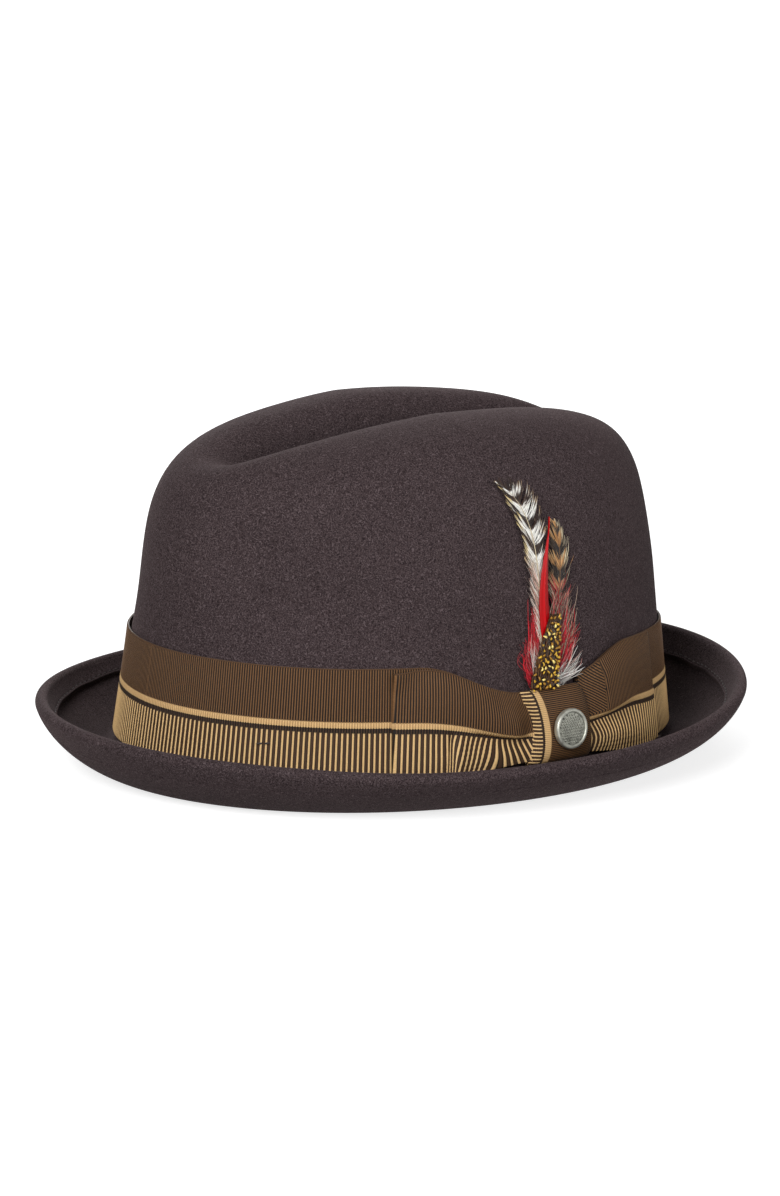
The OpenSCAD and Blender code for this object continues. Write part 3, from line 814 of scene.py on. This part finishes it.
def strands(name, groups, material=FEATHER):
    """One piece from groups of (lines, wide, thick, tints), with lines of [y, height, stand-off]."""
    pts, faces, tints = [], [], []
    for lines, wide, thick, tint in groups:
        p, f = strand_mesh(left(lines[..., 0], lines[..., 1], lines[..., 2]), wide, thick)
        faces.append(f + sum(len(q) for q in pts))
        pts.append(p)
        tints.append(np.repeat(linear(np.broadcast_to(tint, lines.shape)).reshape(-1, 3), 4, axis=0))
    return build(name, np.concatenate(pts), np.concatenate(faces).tolist(), material, "feather_mount",
                 tint=np.concatenate(tints))


def spine_at(ctrl, t):
    c = np.asarray(ctrl, float)
    t = np.asarray(t, float)[..., None]
    return (1 - t) ** 3 * c[0] + 3 * t * (1 - t) ** 2 * c[1] + 3 * t * t * (1 - t) * c[2] + t**3 * c[3]


def barbs(rng, root, heading, length, points=9, bend=0.35, wander=3.0, clump=5, arch=0.0):
    """Lines from root (n, 3) that start wider than heading (degrees from upright) and end closer to it."""
    n = len(root)
    u = np.linspace(0, 1, points)
    split = np.repeat(rng.normal(size=n // clump + 1), clump)[:n]
    h = heading + wander * (0.7 * split + 0.5 * rng.normal(size=n))
    turn = np.radians(h[:, None] * (1 + bend * (1 - 2 * u)) + wander * rng.normal(size=(n, 1)) * u**2)
    step = (length / (points - 1))[:, None]
    zero = np.zeros((n, 1))
    y = root[:, :1] + np.concatenate([zero, np.cumsum(np.sin(turn[:, :-1]) * step, 1)], 1)
    z = root[:, 1:2] + np.concatenate([zero, np.cumsum(np.cos(turn[:, :-1]) * step, 1)], 1)
    off = root[:, 2:] - arch * u**2 + 0.35 * (split + 0.4 * rng.normal(size=n))[:, None] * u
    return np.stack([y, z, np.maximum(off, 1.0)], -1), u[None, :]


def rachis(ctrl, t0, t1, width, tint, points=40):
    t = np.linspace(t0, t1, points)
    line = spine_at(ctrl, t)[None]
    line[..., 2] += 0.12
    w = width * (1 - 0.85 * np.linspace(0, 1, points)[None] ** 1.2)
    return line, w, w * 0.8, tint


def band_mask(s, start, end, soft=0.35):
    return ease(start - soft, start + soft, s) * ease(end + soft, end - soft, s)


def tall_feather():
    rng = np.random.default_rng(101)
    ctrl = [(7.8, 28.5, 2.2), (6.2, 60, 2.4), (17, 91, 3.2), (-4.5, 99.3, 3.8)]
    groups = [rachis(ctrl, 0, 0.99, 0.33, (206, 190, 160))]
    for side in (-1, 1):
        n = 250 if side < 0 else 190
        t = np.sort(np.linspace(0.15, 0.992, n) + rng.uniform(-0.001, 0.001, n))
        root = spine_at(ctrl, t)
        root[:, 2] += rng.uniform(-0.12, 0.12, n)
        s = root[:, 1]
        if side < 0:
            heading = np.interp(s, [38, 48, 74, 83, 92, 99], [-16, -20, -27, -38, -50, -58])
            length = np.interp(s, [38, 48, 58, 66, 74, 83, 88, 93, 97, 99.2],
                               [5, 6.4, 7, 7.6, 8.6, 9.6, 8.6, 6.6, 3.6, 1.0])
        else:
            heading = np.interp(s, [38, 66, 74, 83, 88, 92, 96, 98, 99.2],
                                [12, 22, 33, 44, 42, 38, 24, -10, -60])
            length = np.interp(s, [38, 48, 58, 66, 74, 83, 88, 93, 96, 98, 99.2],
                               [5, 6, 6.5, 8, 9.8, 11.0, 10.6, 8.0, 5.0, 2.4, 0.9])
        length = length * (1 + (0.07 if side < 0 else 0.11) * rng.normal(size=n))
        spiky = 3.5 if side < 0 else 8.5
        lines, u = barbs(rng, root, heading, length, bend=0.3, wander=spiky, arch=0.5)
        along = s[:, None] + u * length[:, None] * (0.04 if side < 0 else 0.42)
        at = along + 0.35 * rng.normal(size=(n, 1))
        white = blend((255, 254, 248), (206, 200, 192), rng.uniform(0, 1, (n, 1)) ** 3 + 0 * u)
        tipped = (222, 196, 132) if side < 0 else (186, 148, 104)
        tint = blend(white, tipped, ease(0.62, 0.95, u) + 0 * s[:, None])
        dark = blend((66, 42, 27), (30, 20, 15), rng.uniform(0, 1, (n, 1)) + 0 * u)
        bars = (band_mask(at, 73.9, 77.6) + band_mask(at, 83.0, 86.6)
                + band_mask(at, 91.6, 94.2) + band_mask(at, 96.0, 99.4, 0.2))
        if side > 0:
            bars = bars + ease(0.78, 0.97, u) * (rng.uniform(0, 1, (n, 1)) > 0.45) * ease(78, 84, s[:, None])
        tint = blend(tint, dark, np.clip(bars, 0, 1))
        fluff = [(224, 178, 160), (244, 232, 220), (112, 78, 64), (180, 116, 102), (226, 214, 204)]
        tint = blend(tint, np.broadcast_to(pick(rng, fluff, n), tint.shape), ease(71, 62, along))
        taper = 1.6 if side < 0 else 0.9
        wide = 0.2 * (1 - u**taper) ** 0.8 + 0.03 + 0 * s[:, None]
        wide = wide * np.where(s[:, None] < 62, 0.6, 1.0)
        groups.append((lines, wide, 0.045 + 0 * wide, tint))
    # loose down that stands away from the lower vane
    n = 70
    t = rng.uniform(0.3, 0.55, n)
    root = spine_at(ctrl, t)
    heading = rng.uniform(-40, -8, n)
    lines, u = barbs(rng, root, heading, rng.uniform(5, 9, n), points=10, bend=0.5, wander=9, clump=1)
    tint = blend((196, 184, 172), (140, 118, 104), rng.uniform(0, 1, (n, 1)) + 0 * u)
    groups.append((lines, 0.07 * (1 - 0.8 * u) + 0 * lines[..., 0], 0.04 + 0 * lines[..., 0], tint))
    o = strands("barred_feather_tall", groups)
    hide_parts("feather_barred_tall")


def short_feather():
    rng = np.random.default_rng(102)
    ctrl = [(11.2, 28.5, 1.5), (14, 50, 1.7), (24, 68, 1.7), (22.2, 84.8, 2.0)]
    groups = [rachis(ctrl, 0, 0.98, 0.3, (120, 84, 52))]
    for side in (-1, 1):
        n = 170
        t = np.sort(np.linspace(0.22, 0.985, n) + rng.uniform(-0.001, 0.001, n))
        root = spine_at(ctrl, t)
        root[:, 2] += rng.uniform(-0.1, 0.1, n)
        s = root[:, 1]
        if side < 0:
            heading = np.interp(s, [40, 60, 72, 80], [-14, -18, -22, -16])
            length = np.interp(s, [40, 50, 62, 72, 80, 84.5], [5, 7.5, 9, 9, 5, 1.0])
        else:
            heading = np.interp(s, [40, 52, 66, 76, 84], [32, 27, 24, 26, 14])
            length = np.interp(s, [40, 50, 62, 70, 78, 84.5], [7, 9.5, 10, 9, 5.5, 1.0])
        length = length * (1 + 0.15 * rng.normal(size=n))
        lines, u = barbs(rng, root, heading, length, bend=0.3, wander=9.5, arch=0.35)
        along = s[:, None] + u * length[:, None] * 0.35 + 0.4 * rng.normal(size=(n, 1))
        rust = blend((164, 112, 62), (206, 158, 104), rng.uniform(0, 1, (n, 1)) + 0 * u)
        cream = np.broadcast_to(np.array((226, 212, 178), float), rust.shape)
        edge = ease(0.4, 0.7, u) * (1.0 if side > 0 else 0.35) * (rng.uniform(0, 1, (n, 1)) > 0.3) + 0 * along
        tint = blend(rust, cream, edge)
        bars = band_mask(along, 71.4, 76.0) + band_mask(along, 63.6, 67.8) + band_mask(along, 79.6, 81.8)
        tint = blend(tint, (30, 22, 18), np.clip(bars, 0, 1) * (1 - 0.6 * edge))
        flush = [(190, 70, 66), (206, 116, 100), (116, 84, 66), (70, 54, 46), (206, 186, 164), (176, 44, 52)]
        tint = blend(tint, np.broadcast_to(pick(rng, flush, n), tint.shape), ease(64, 60, along))
        wide = 0.19 * (1 - u**1.6) ** 0.8 + 0.025 + 0 * s[:, None]
        wide = wide * np.where(s[:, None] < 60, 0.65, 1.0)
        groups.append((lines, wide, 0.045 + 0 * wide, tint))
    o = strands("barred_feather_short", groups)
    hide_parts("feather_barred_short")


def red_feather():
    """A smooth cut biot: two flat halves meet at a raised quill line."""
    ctrl = [(10.8, 39, 3.2), (7.4, 60, 3.6), (11.6, 70, 4.0), (17.3, 86.7, 4.6)]
    rows = 60
    t = np.linspace(0, 1, rows)
    c = spine_at(ctrl, t)
    full = 2.2 * np.sin(math.pi * np.clip(t + 0.12, 0, 1) ** 0.66) ** 0.8 + 0.08
    full *= 1 + 0.03 * np.sin(t * 47)
    v = np.array([-1, -0.8, -0.45, -0.12, 0, 0.12, 0.45, 0.8, 1])
    height = np.array([0, 0.12, 0.22, 0.3, 0.42, 0.3, 0.16, 0.05, -0.05])
    pts = []
    for (y, h, off), half in zip(c, full):
        face = left(y + half * v, h + 0.25 * half * np.abs(v), off + height)
        back = left(y + half * v[::-1], h + 0.25 * half * np.abs(v[::-1]), off + height[::-1] - 0.3)
        pts.append(np.concatenate([face, back]))
    # Painted light and shade across the biot: a painted highlight along the quill line, both halves darker
    # towards their edges, one half more than the other.
    shade = np.concatenate([np.interp(v, [-1, -0.1, 0, 0.1, 1], [0.75, 1.0, 1.15, 0.8, 0.6])] * 2)
    tint = linear((184, 0, 8)) * shade[None, :, None] * np.ones((rows, 1, 1))
    o = build("red_feather", pts, two_sided(rows, 2 * len(v), flip=True), RED_FEATHER, "feather_mount",
              tint=tint)
    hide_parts("feather_red")


def wisps(rng, n, base, tip, base_spread, tip_spread, colours, width=0.08, bow=4.0, points=10, curl=0.0):
    """Loose soft strands from around one point to around another, as [y, height, stand-off]."""
    a = np.asarray(base) + rng.normal(size=(n, 3)) * base_spread
    b = np.asarray(tip) + rng.normal(size=(n, 3)) * tip_spread
    u = np.linspace(0, 1, points)[None, :, None]
    side = rng.normal(size=(n, 1, 1)) * bow
    line = a[:, None] * (1 - u) + b[:, None] * u
    line[..., :1] += side * np.sin(math.pi * u) * 0.35
    line[..., :1] += curl * np.sin(5 * u + rng.uniform(0, TAU, (n, 1, 1))) * u**1.5
    line[..., 1:2] += 0.5 * curl * np.cos(6 * u + rng.uniform(0, TAU, (n, 1, 1))) * u**1.5
    line[..., 2] = np.maximum(line[..., 2], 1.2)
    col = pick(rng, colours, n) * rng.uniform(0.75, 1.1, (n, 1, 1))
    col = np.clip(col * (0.85 + 0.25 * u), 0, 255) * np.ones_like(line)
    w = width * rng.uniform(0.6, 1.3, (n, 1)) * (1 - 0.75 * u[..., 0] ** 2)
    return line, w, 0.5 * w, col


CRIMSON = [(178, 4, 22), (200, 8, 30), (140, 4, 18), (214, 30, 52)]
PINK = [(214, 150, 140), (226, 190, 178), (190, 90, 92)]
WHITE_DOWN = [(222, 218, 212), (196, 190, 184), (168, 160, 156), (232, 228, 222)]
SPECKLE = [(120, 96, 82), (186, 160, 138), (84, 66, 56)]


def hackles():
    rng = np.random.default_rng(103)
    front = [
        wisps(rng, 84, (5.4, 30, 1.7), (5.6, 51, 2.0), (0.8, 0.8, 0.2), (1.1, 3.6, 0.3), CRIMSON, 0.19),
        wisps(rng, 46, (4.2, 29.5, 2.2), (1.2, 39, 3.0), (0.8, 0.8, 0.3), (1.5, 2.6, 0.5),
              CRIMSON, 0.18, curl=0.9),
        wisps(rng, 34, (4.8, 33, 3.2), (2.6, 43, 4.4), (1.0, 1.5, 0.3), (1.5, 2.8, 0.5),
              PINK + WHITE_DOWN[:1], 0.12, curl=0.6),
        wisps(rng, 18, (2.8, 34, 3.0), (-1.2, 44, 3.6), (0.6, 1.0, 0.3), (0.9, 1.4, 0.6),
              CRIMSON, 0.15, curl=1.3),
    ]
    o = strands("red_hackle_front", front)
    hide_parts("feather_hackle_front")
    rear = [
        wisps(rng, 76, (13.4, 31, 2.4), (19.8, 49, 3.2), (0.8, 1.0, 0.3), (1.3, 4.0, 0.5), CRIMSON, 0.2),
        wisps(rng, 40, (15.5, 36, 2.4), (23.4, 50, 3.0), (1.0, 2.5, 0.3), (1.5, 3.4, 0.5),
              CRIMSON[:3] + SPECKLE, 0.16, curl=0.5),
        wisps(rng, 46, (13.5, 42, 2.6), (18.6, 59, 3.2), (1.2, 3.0, 0.3), (1.8, 3.0, 0.5),
              CRIMSON[:1] + PINK[2:] + SPECKLE, 0.17),
        wisps(rng, 16, (14.5, 44, 3.0), (22.0, 57, 3.6), (1.2, 3.0, 0.3), (1.6, 4.0, 0.5),
              PINK[2:] + SPECKLE, 0.12, curl=0.4),
    ]
    o = strands("red_hackle_rear", rear)
    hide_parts("feather_hackle_rear")


def white_down():
    rng = np.random.default_rng(104)
    groups = [
        wisps(rng, 56, (13.6, 30.2, 3.2), (20.6, 35.4, 4.0), (0.7, 0.7, 0.3), (2.2, 1.8, 0.7),
              WHITE_DOWN, 0.18, curl=0.8),
        wisps(rng, 16, (14.6, 33, 3.4), (22.6, 41.0, 4.0), (0.8, 1.6, 0.3), (1.8, 2.8, 0.6),
              WHITE_DOWN[:1] + PINK, 0.14, curl=0.6),
        wisps(rng, 8, (16.0, 38, 3.2), (24.2, 49, 3.6), (0.8, 2.0, 0.3), (1.2, 3.0, 0.6),
              SPECKLE[1:2], 0.12, curl=0.5),
    ]
    o = strands("white_down", groups)
    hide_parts("feather_white_down")


def gold_plume():
    """Dark strands, close together on a rounded body, with curled golden tips scattered over them."""
    rng = np.random.default_rng(105)
    axis = [(6.0, 29.5, 4.2), (7.5, 38, 4.4), (10.6, 46, 4.4), (13.9, 54.5, 4.0)]
    tall = 25.0

    def half_width(t):
        return 5.4 * np.clip(1 - t, 0, 1) ** 0.38

    def on_body(t, q, lift):
        c = spine_at(axis, t)
        w = half_width(t) * (1 - 0.15 * t)
        thick = 1.7 * np.clip(1 - t, 0, 1) ** 0.5
        across, out = (w + lift) * np.sin(q), (thick + lift) * np.cos(q)
        return np.stack([c[..., 0] + across, c[..., 1], c[..., 2] + out], -1)

    n = 620
    t0 = rng.uniform(0, 0.9, n)
    q0 = rng.uniform(-1.5, 1.5, n)
    u = np.linspace(0, 1, 6)[None, :]
    run = 3.6 * rng.uniform(0.7, 1.2, (n, 1)) / tall
    lines = on_body(np.clip(t0[:, None] + run * u, 0, 0.985), q0[:, None] * (1 + 0.12 * u), 0.1 + 0.55 * u**2)
    dark = pick(rng, [(46, 28, 16), (70, 44, 22), (34, 22, 14), (96, 62, 26)], n)
    w = 0.26 * (1 - 0.7 * u**2) + 0 * t0[:, None]
    groups = [(lines, w, 0.4 * w, dark)]

    places = []
    for _ in range(4000):
        t, q = rng.uniform(0.0, 0.97), rng.uniform(-1.25, 1.25)
        p = np.array([tall * t, half_width(t) * math.sin(q)])
        if all(np.linalg.norm(p - other[0]) > 1.3 for other in places):
            places.append((p, t, q))
    m = len(places)
    t0, q0 = (np.array([place[i] for place in places]) for i in (1, 2))
    u = np.linspace(0, 1, 9)[None, :]
    length = rng.uniform(1.0, 2.0, (m, 1))
    lean = rng.normal(size=(m, 1)) * 1.1
    c = on_body(t0, q0, 0.55)[:, None, :] + np.zeros((m, 9, 1))
    c[..., 0] += length * (u - 0.4) * np.sin(lean) + 0.3 * rng.normal(size=(m, 1)) * np.sin(math.pi * u)
    c[..., 1] += length * (u - 0.4) * np.cos(lean)
    c[..., 2] += 0.55 * np.sin(math.pi * u * 0.9) + 0.25 * rng.uniform(0, 1, (m, 1))
    gold = pick(rng, [(224, 178, 60), (254, 228, 134), (202, 156, 50), (168, 122, 42)], m)
    tint = blend((70, 42, 18), gold * np.ones((1, 9, 1)), ease(0.0, 0.35, u) + 0 * lean)
    w = 0.46 * np.sin(math.pi * (0.06 + 0.9 * u)) ** 0.7 * rng.uniform(0.65, 1.3, (m, 1))
    groups.append((c, w, 0.09 + 0 * w, tint))
    o = strands("gold_plume", groups, GLOSSY_FEATHER)
    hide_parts("feather_gold_plume")


def on_side(y, h, off, turn):
    """The CAD's frame on the left wall: +Z up the felt, +X straight out of it."""
    lean = math.asin(OUT[2])
    turned = Matrix.Rotation(math.radians(turn), 3, "Z") @ Matrix.Rotation(-lean, 3, "Y")
    origin = left(y, h, off)
    spin = np.array(turned)
    return lambda p: np.asarray(p, float) @ spin.T + origin


STEM_TURN = 4.0


def binding():
    """Tape and thread wound round the quills."""
    place = on_side(STEM_Y, 7, 1.65, STEM_TURN)
    nz, na, tall = 260, 40, 21
    z = np.linspace(0, tall, nz)[:, None]
    a = np.arange(na)[None, :] * TAU / na
    ridge = 0.1 * np.abs(np.sin(math.pi * (z / 0.62 + a / TAU)))
    end = np.sqrt(np.clip(np.minimum(z, tall - z) / 0.4, 0.1, 1))
    y = (2.1 + ridge) * end * np.sign(np.cos(a)) * np.abs(np.cos(a)) ** 0.7
    x = (0.82 + ridge) * end * np.sin(a)
    pts = place(np.stack([x, y, z + 0 * a], -1).reshape(-1, 3))
    o = build("feather_binding_thread", pts, tube(nz, na, flip=True), THREAD, "feather_mount")
    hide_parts("feather_binding")


def pin():
    """Round pewter pin: raised rim and a field of small pyramids."""
    place = on_side(KNOT_Y, 15.5, 7.75, STEM_TURN + 2)
    profile = [(0.35, -2.4), (0.55, -2.2), (0.55, -0.02), (6.6, 0), (6.9, 0.1), (7.0, 0.35), (7.0, 1.3),
               (6.93, 1.62), (6.72, 1.88), (6.4, 2.0), (6.05, 1.98), (5.82, 1.86), (5.68, 1.62), (5.6, 1.32),
               (0.4, 1.3)]
    turns = 96
    a = np.arange(turns) * TAU / turns
    rings = np.array([np.stack([np.full(turns, z), r * np.cos(a), r * np.sin(a)], -1) for r, z in profile])
    pts = list(rings.reshape(-1, 3))
    faces = tube(len(profile), turns)
    pitch, foot, tip = 1.08, 0.5, 0.12
    for i in range(-5, 6):
        for k in range(-6, 7):
            y, z = i * pitch + (k % 2) * pitch / 2, k * pitch * 0.87
            if math.hypot(y, z) > 5.2:
                continue
            faces += tube(2, 4, start=len(pts))
            for x, r in ((1.25, foot), (1.78, tip)):
                pts += [(x, y - r, z), (x, y, z - r), (x, y + r, z), (x, y, z + r)]
    o = build("pin", place(np.array(pts)), faces, PEWTER, smooth=False)
    o.data.polygons.foreach_set("use_smooth", [len(f.vertices) == 4 for f in o.data.polygons])
    o.data.set_sharp_from_angle(angle=math.radians(28))
    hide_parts("pin_badge")


def tacks():
    """Two short hand stitches that hold the ribbon to the felt."""
    at, along, outwards = [], [], []
    for y, h, off, turn, length in ((-86, 13.4, 1.75, -38, 1.9), (-84.1, 13.7, 1.75, -38, 1.9),
                                    (63, 3.2, 5.3, 26, 1.6)):
        place = on_side(y, h, off, turn)
        zero = place([0, 0, 0])
        at.append(zero)
        along.append(place([0, length, 0.12 * length]) - zero)
        outwards.append(place([1, 0, 0]) - zero)
    o = capsule_chain("tacks", at, along, outwards, 2.1, 0.32, sides=8, sag=0.3)
    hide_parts("band_tack_stitches")


# ---------------------------------------------------------------- inside the hat

LEATHER_OUT = -FELT_T - 0.35


def leather_at(p, z, inwards):
    lean = 1.3 * np.maximum(0, z - 11) / 23
    return wall(p, z - around(p, BREAK_Z), LEATHER_OUT - lean - inwards)


def sweatband():
    nu = 420
    p = np.arange(nu)[:, None] * TAU / nu
    z = np.concatenate([[2.7, 3.0], np.linspace(3.6, 33.2, 30), [33.7, 34.0]])[None, :]
    t = LEATHER_T / 2
    ends = np.sqrt(np.clip(np.minimum(z - 2.55, 34.1 - z) / 0.6, 0.05, 1))
    groove = 0.16 * bump(z, 30.6, 0.3) + 0.12 * bump(z, 29.4, 0.25)
    mid = leather_at(p, z, t)
    wave = 0.12 * waves(61, 9, 30, 90)(mid) * ease(12, 34, z)
    outer = leather_at(p, z, t - t * ends + wave)
    inner = leather_at(p, z, t + t * ends - groove + wave)
    ring = np.concatenate([outer[:, ::-1], inner], 1)
    faces = grid_faces(nu, ring.shape[1], wrap_u=True, wrap_v=True)
    o = build("leather_sweatband", ring, faces.tolist(), LEATHER)
    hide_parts("sweatband")


def ring_cord(name, node, path, radius, material, twist=0.0):
    """Closed cord along path (n, 3), with shallow twisted strands."""
    n, sides = len(path), 12
    t = unit(np.roll(path, -1, 0) - np.roll(path, 1, 0))
    across = unit(np.cross(t, [0, 0, 1.0]))
    up = np.cross(across, t)
    a = np.arange(sides)[None, :] * TAU / sides
    run = np.arange(n)[:, None] / n
    r = radius * (1 + twist * np.cos(3 * a + TAU * run * round(n / 8)))
    around_it = np.cos(a)[..., None] * across[:, None] + np.sin(a)[..., None] * up[:, None]
    faces = grid_faces(n, sides, wrap_u=True, wrap_v=True, flip=True).tolist()
    o = build(name, path[:, None] + r[..., None] * around_it, faces, material)
    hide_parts(node)


def sweatband_stitches():
    count = 200
    q = np.arange(count) * TAU / count
    low = 4.6 + 0 * q
    at = leather_at(q, low, LEATHER_T + 0.02)
    along = leather_at(q + 0.01, low, LEATHER_T + 0.02) - at
    inwards = leather_at(q, low, LEATHER_T + 1) - at
    o = capsule_chain("sweatband_stitches", at, along, inwards, 2.1, 0.2)
    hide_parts("sweatband_stitching")


def inside():
    p = np.arange(960) * TAU / 960
    sweatband()
    ring_cord("reed", "sweatband_reed", brim(p, LEATHER_OUT - 0.75, 1.55), 0.75, REED)
    sweatband_stitches()
    lining()
    path = crown_row(p, np.array(FOLDS_END), FELT_T + 2.95)
    ring_cord("lining_cord", "lining_piping", path, 0.62, PIPING, twist=0.12)
    label()
    back_bow()


SATIN_IN, SATIN_HALF = 1.9, 0.18     # from the felt to the satin's middle, and half its thickness
FOLDS_END = 0.565                    # share up the crown where side lining and cord meet


def lining():
    nu = 540
    p = np.arange(nu)[:, None] * TAU / nu
    folds = waves(71, 10, 7, 16)
    soft = waves(72, 9, 30, 60)

    def cloth(s):
        """Middle surface, its direction into the hat, and two kinds of waves for its folds."""
        mid = crown_row(p, s, FELT_T + SATIN_IN)
        into = unit(crown_row(p, s, FELT_T + 3.0) - crown_row(p, s, FELT_T + 1.0))
        flat = np.stack([HALF_W * np.cos(p) + 0 * s, HALF_L * np.sin(p) + 0 * s, 0.12 * mid[..., 2]], -1)
        return mid, into, folds(flat), soft(mid)

    s = np.linspace(0.2, 0.562, 40)[None, :]
    mid, into, f, g = cloth(s)
    sway = (0.28 * f * ease(0.2, 0.3, s) * ease(FOLDS_END, 0.5, s) + 0.15 * g)[..., None]
    mid = mid + into * sway
    ring = np.concatenate([(mid - into * SATIN_HALF)[:, ::-1], mid + into * SATIN_HALF], 1)
    faces = grid_faces(nu, ring.shape[1], wrap_u=True, wrap_v=True).tolist()
    o = build("satin_side_lining", ring, faces, SATIN)
    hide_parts("lining_side")

    s = np.linspace(0.57, 0.985, 60)[None, :]
    _, into, f, g = cloth(s)
    sway = (0.3 * f * ease(0.64, 0.57, s) + 0.3 * g * ease(0.57, 0.7, s))[..., None]
    insets = FELT_T + SATIN_IN - SATIN_HALF, FELT_T + SATIN_IN + SATIN_HALF
    high, low = (crown_row(p, s, inset) + into * sway for inset in insets)
    ring = np.concatenate([high[:, ::-1], low], 1)
    o = build("satin_tip_lining", *domed(ring, [crown_top(inset) for inset in insets]), SATIN)
    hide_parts("lining_tip")


def label():
    first, last = math.radians(60), math.radians(72)
    top, foot = 27, 19
    corner = math.radians(0.4)
    q = np.linspace(first, last, 60)[:, None]
    z = np.linspace(top, foot, 36)[None, :]
    edge = np.minimum(np.minimum(ease(first, first + corner, q), ease(last, last - corner, q)),
                      np.minimum(ease(top, top - 0.4, z), ease(foot, foot + 0.4, z)))
    weave = 0.03 * np.sin(z * 14) * np.sin(q * 5200)
    face = leather_at(q, z, LEATHER_T + 0.62 + 0.16 * edge + weave)
    back = leather_at(q, z, LEATHER_T + 0.45)
    ring = np.concatenate([face, back[:, ::-1]], 1)
    o = build("size_tab", ring, two_sided(*ring.shape[:2], flip=True), LABEL)
    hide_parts("size_label")


def back_bow():
    """Small flat ribbon bow over the leather's back seam."""
    y0, z0 = HALF_L + LEATHER_OUT - LEATHER_T - 2.7, 13
    pts, faces = [], []
    na, nu, rows = 28, 26, 16
    a = np.arange(na) * TAU / na
    for side in (-1, 1):
        faces += tube(nu, na, flip=side > 0, start=len(pts))
        for u in np.linspace(0, 1, nu):
            x = side * (1.0 + 8.2 * u)
            tall = 1.3 + 2.5 * u**0.8 if u < 0.97 else 3.4
            thick = 0.42 + 0.5 * math.sin(math.pi * min(1, u * 1.02)) + 0.05
            crease = 1 - 0.3 * np.exp(-((np.sin(a) / 0.25) ** 2)) * (1 - u)
            y = -thick * np.cos(a) * np.abs(np.cos(a)) ** -0.2 * crease
            pts += list(np.stack([np.full(na, x), y0 + y, z0 + tall * np.sin(a)], -1))
    faces += tube(rows, na, flip=True, start=len(pts))
    for v in np.linspace(-1, 1, rows):
        r = math.sqrt(max(0.04, 1 - abs(v) ** 6))
        x = 1.75 * r * np.sign(np.cos(a)) * np.abs(np.cos(a)) ** 0.6
        pts += list(np.stack([x, y0 - 0.25 + 0.85 * r * np.sin(a), z0 + 2.2 * v + 0 * a], -1))
    pts = np.array(pts)
    weave = np.stack([pts[:, 0], 6 + 0 * pts[:, 0], 1 + 0 * pts[:, 0]], -1)
    o = build("seam_bow", pts, faces, RIBBON, weave=weave)
    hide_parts("sweatband_bow")


# ---------------------------------------------------------------- stage, light, camera


def stage():
    n = 24
    g = np.linspace(-12.0, 12.0, n)
    pts = np.stack(np.meshgrid(g, g, [0.0], indexing="ij"), -1).reshape(-1, 3)
    me = bpy.data.meshes.new("floor")
    me.from_pydata(pts.tolist(), [], [list(map(int, f)) for f in grid_faces(n, n, flip=True)])
    o = bpy.data.objects.new("floor", me)
    me.materials.append(floor_paint())
    bpy.context.scene.collection.objects.link(o)
    o.visible_diffuse = False
    world = bpy.data.worlds.new("studio")
    world.use_nodes = True
    bg = world.node_tree.nodes["Background"]
    bg.inputs[0].default_value = (1, 1, 1, 1)
    bg.inputs[1].default_value = 0.3
    bpy.context.scene.world = world


AZIMUTH, ELEVATION, ROLL = math.radians(57), math.radians(12.5), math.radians(0.5)
DISTANCE, TARGET = 1.5, Vector((-0.00035, -0.0019, 0.0539))
LENS = 126.286                   # focal length in mm
RIGHT = Vector((math.cos(AZIMUTH), math.sin(AZIMUTH), 0))
FRONT = Vector((math.sin(AZIMUTH), -math.cos(AZIMUTH), 0))       # level, from the hat to the camera
BACK = FRONT * math.cos(ELEVATION) + Vector((0, 0, math.sin(ELEVATION)))


def lamp(name, right, up, towards, size, watts):
    """A soft lamp placed as the camera sees it: right of the hat, up, and towards the camera."""
    at = RIGHT * right + FRONT * towards + Vector((0, 0, up))
    light = bpy.data.lights.new(name, "AREA")
    light.shape = "DISK"
    light.size = size
    light.energy = watts
    o = bpy.data.objects.new(name, light)
    bpy.context.scene.collection.objects.link(o)
    aim = (Vector((0, 0, 0.05)) - at).to_track_quat("-Z", "Y").to_matrix().to_4x4()
    o.matrix_world = Matrix.Translation(at) @ aim


def camera():
    up = BACK.cross(RIGHT)
    c, s = math.cos(ROLL), math.sin(ROLL)
    right, up = RIGHT * c + up * s, up * c - RIGHT * s
    cam = bpy.data.cameras.new("camera")
    cam.sensor_width = 36.0
    cam.lens = LENS
    cam.clip_end = 50
    o = bpy.data.objects.new("camera", cam)
    bpy.context.scene.collection.objects.link(o)
    turned = Matrix((right, up, BACK)).transposed().to_4x4()
    o.matrix_world = Matrix.Translation(TARGET + BACK * DISTANCE) @ turned
    bpy.context.scene.camera = o


bpy.context.scene.view_settings.view_transform = "Standard"
camera()
stage()
lamp("key", right=-0.5, up=0.85, towards=1.35, size=0.7, watts=21)
lamp("fill", right=0.85, up=0.5, towards=1.3, size=0.7, watts=9.5)
lamp("back", right=-0.2, up=0.55, towards=-1.5, size=1.0, watts=13)

felt_body()
brim_stitches()
hat_band()
tacks()
wing("bow_wing_front", "bow_wing_front", -48.4, 2.5, front_shape, front_bow)
wing("bow_wing_rear", "bow_wing_rear", 66.0, 23.0, rear_shape, rear_bow)
bow_knot()
pin()
tall_feather()
short_feather()
red_feather()
hackles()
white_down()
gold_plume()
binding()
inside()
for node, paint in (("pin_clutch", PEWTER), ("feather_quills", QUILL)):
    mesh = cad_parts[node].data
    mesh.materials.clear()
    mesh.materials.append(paint)
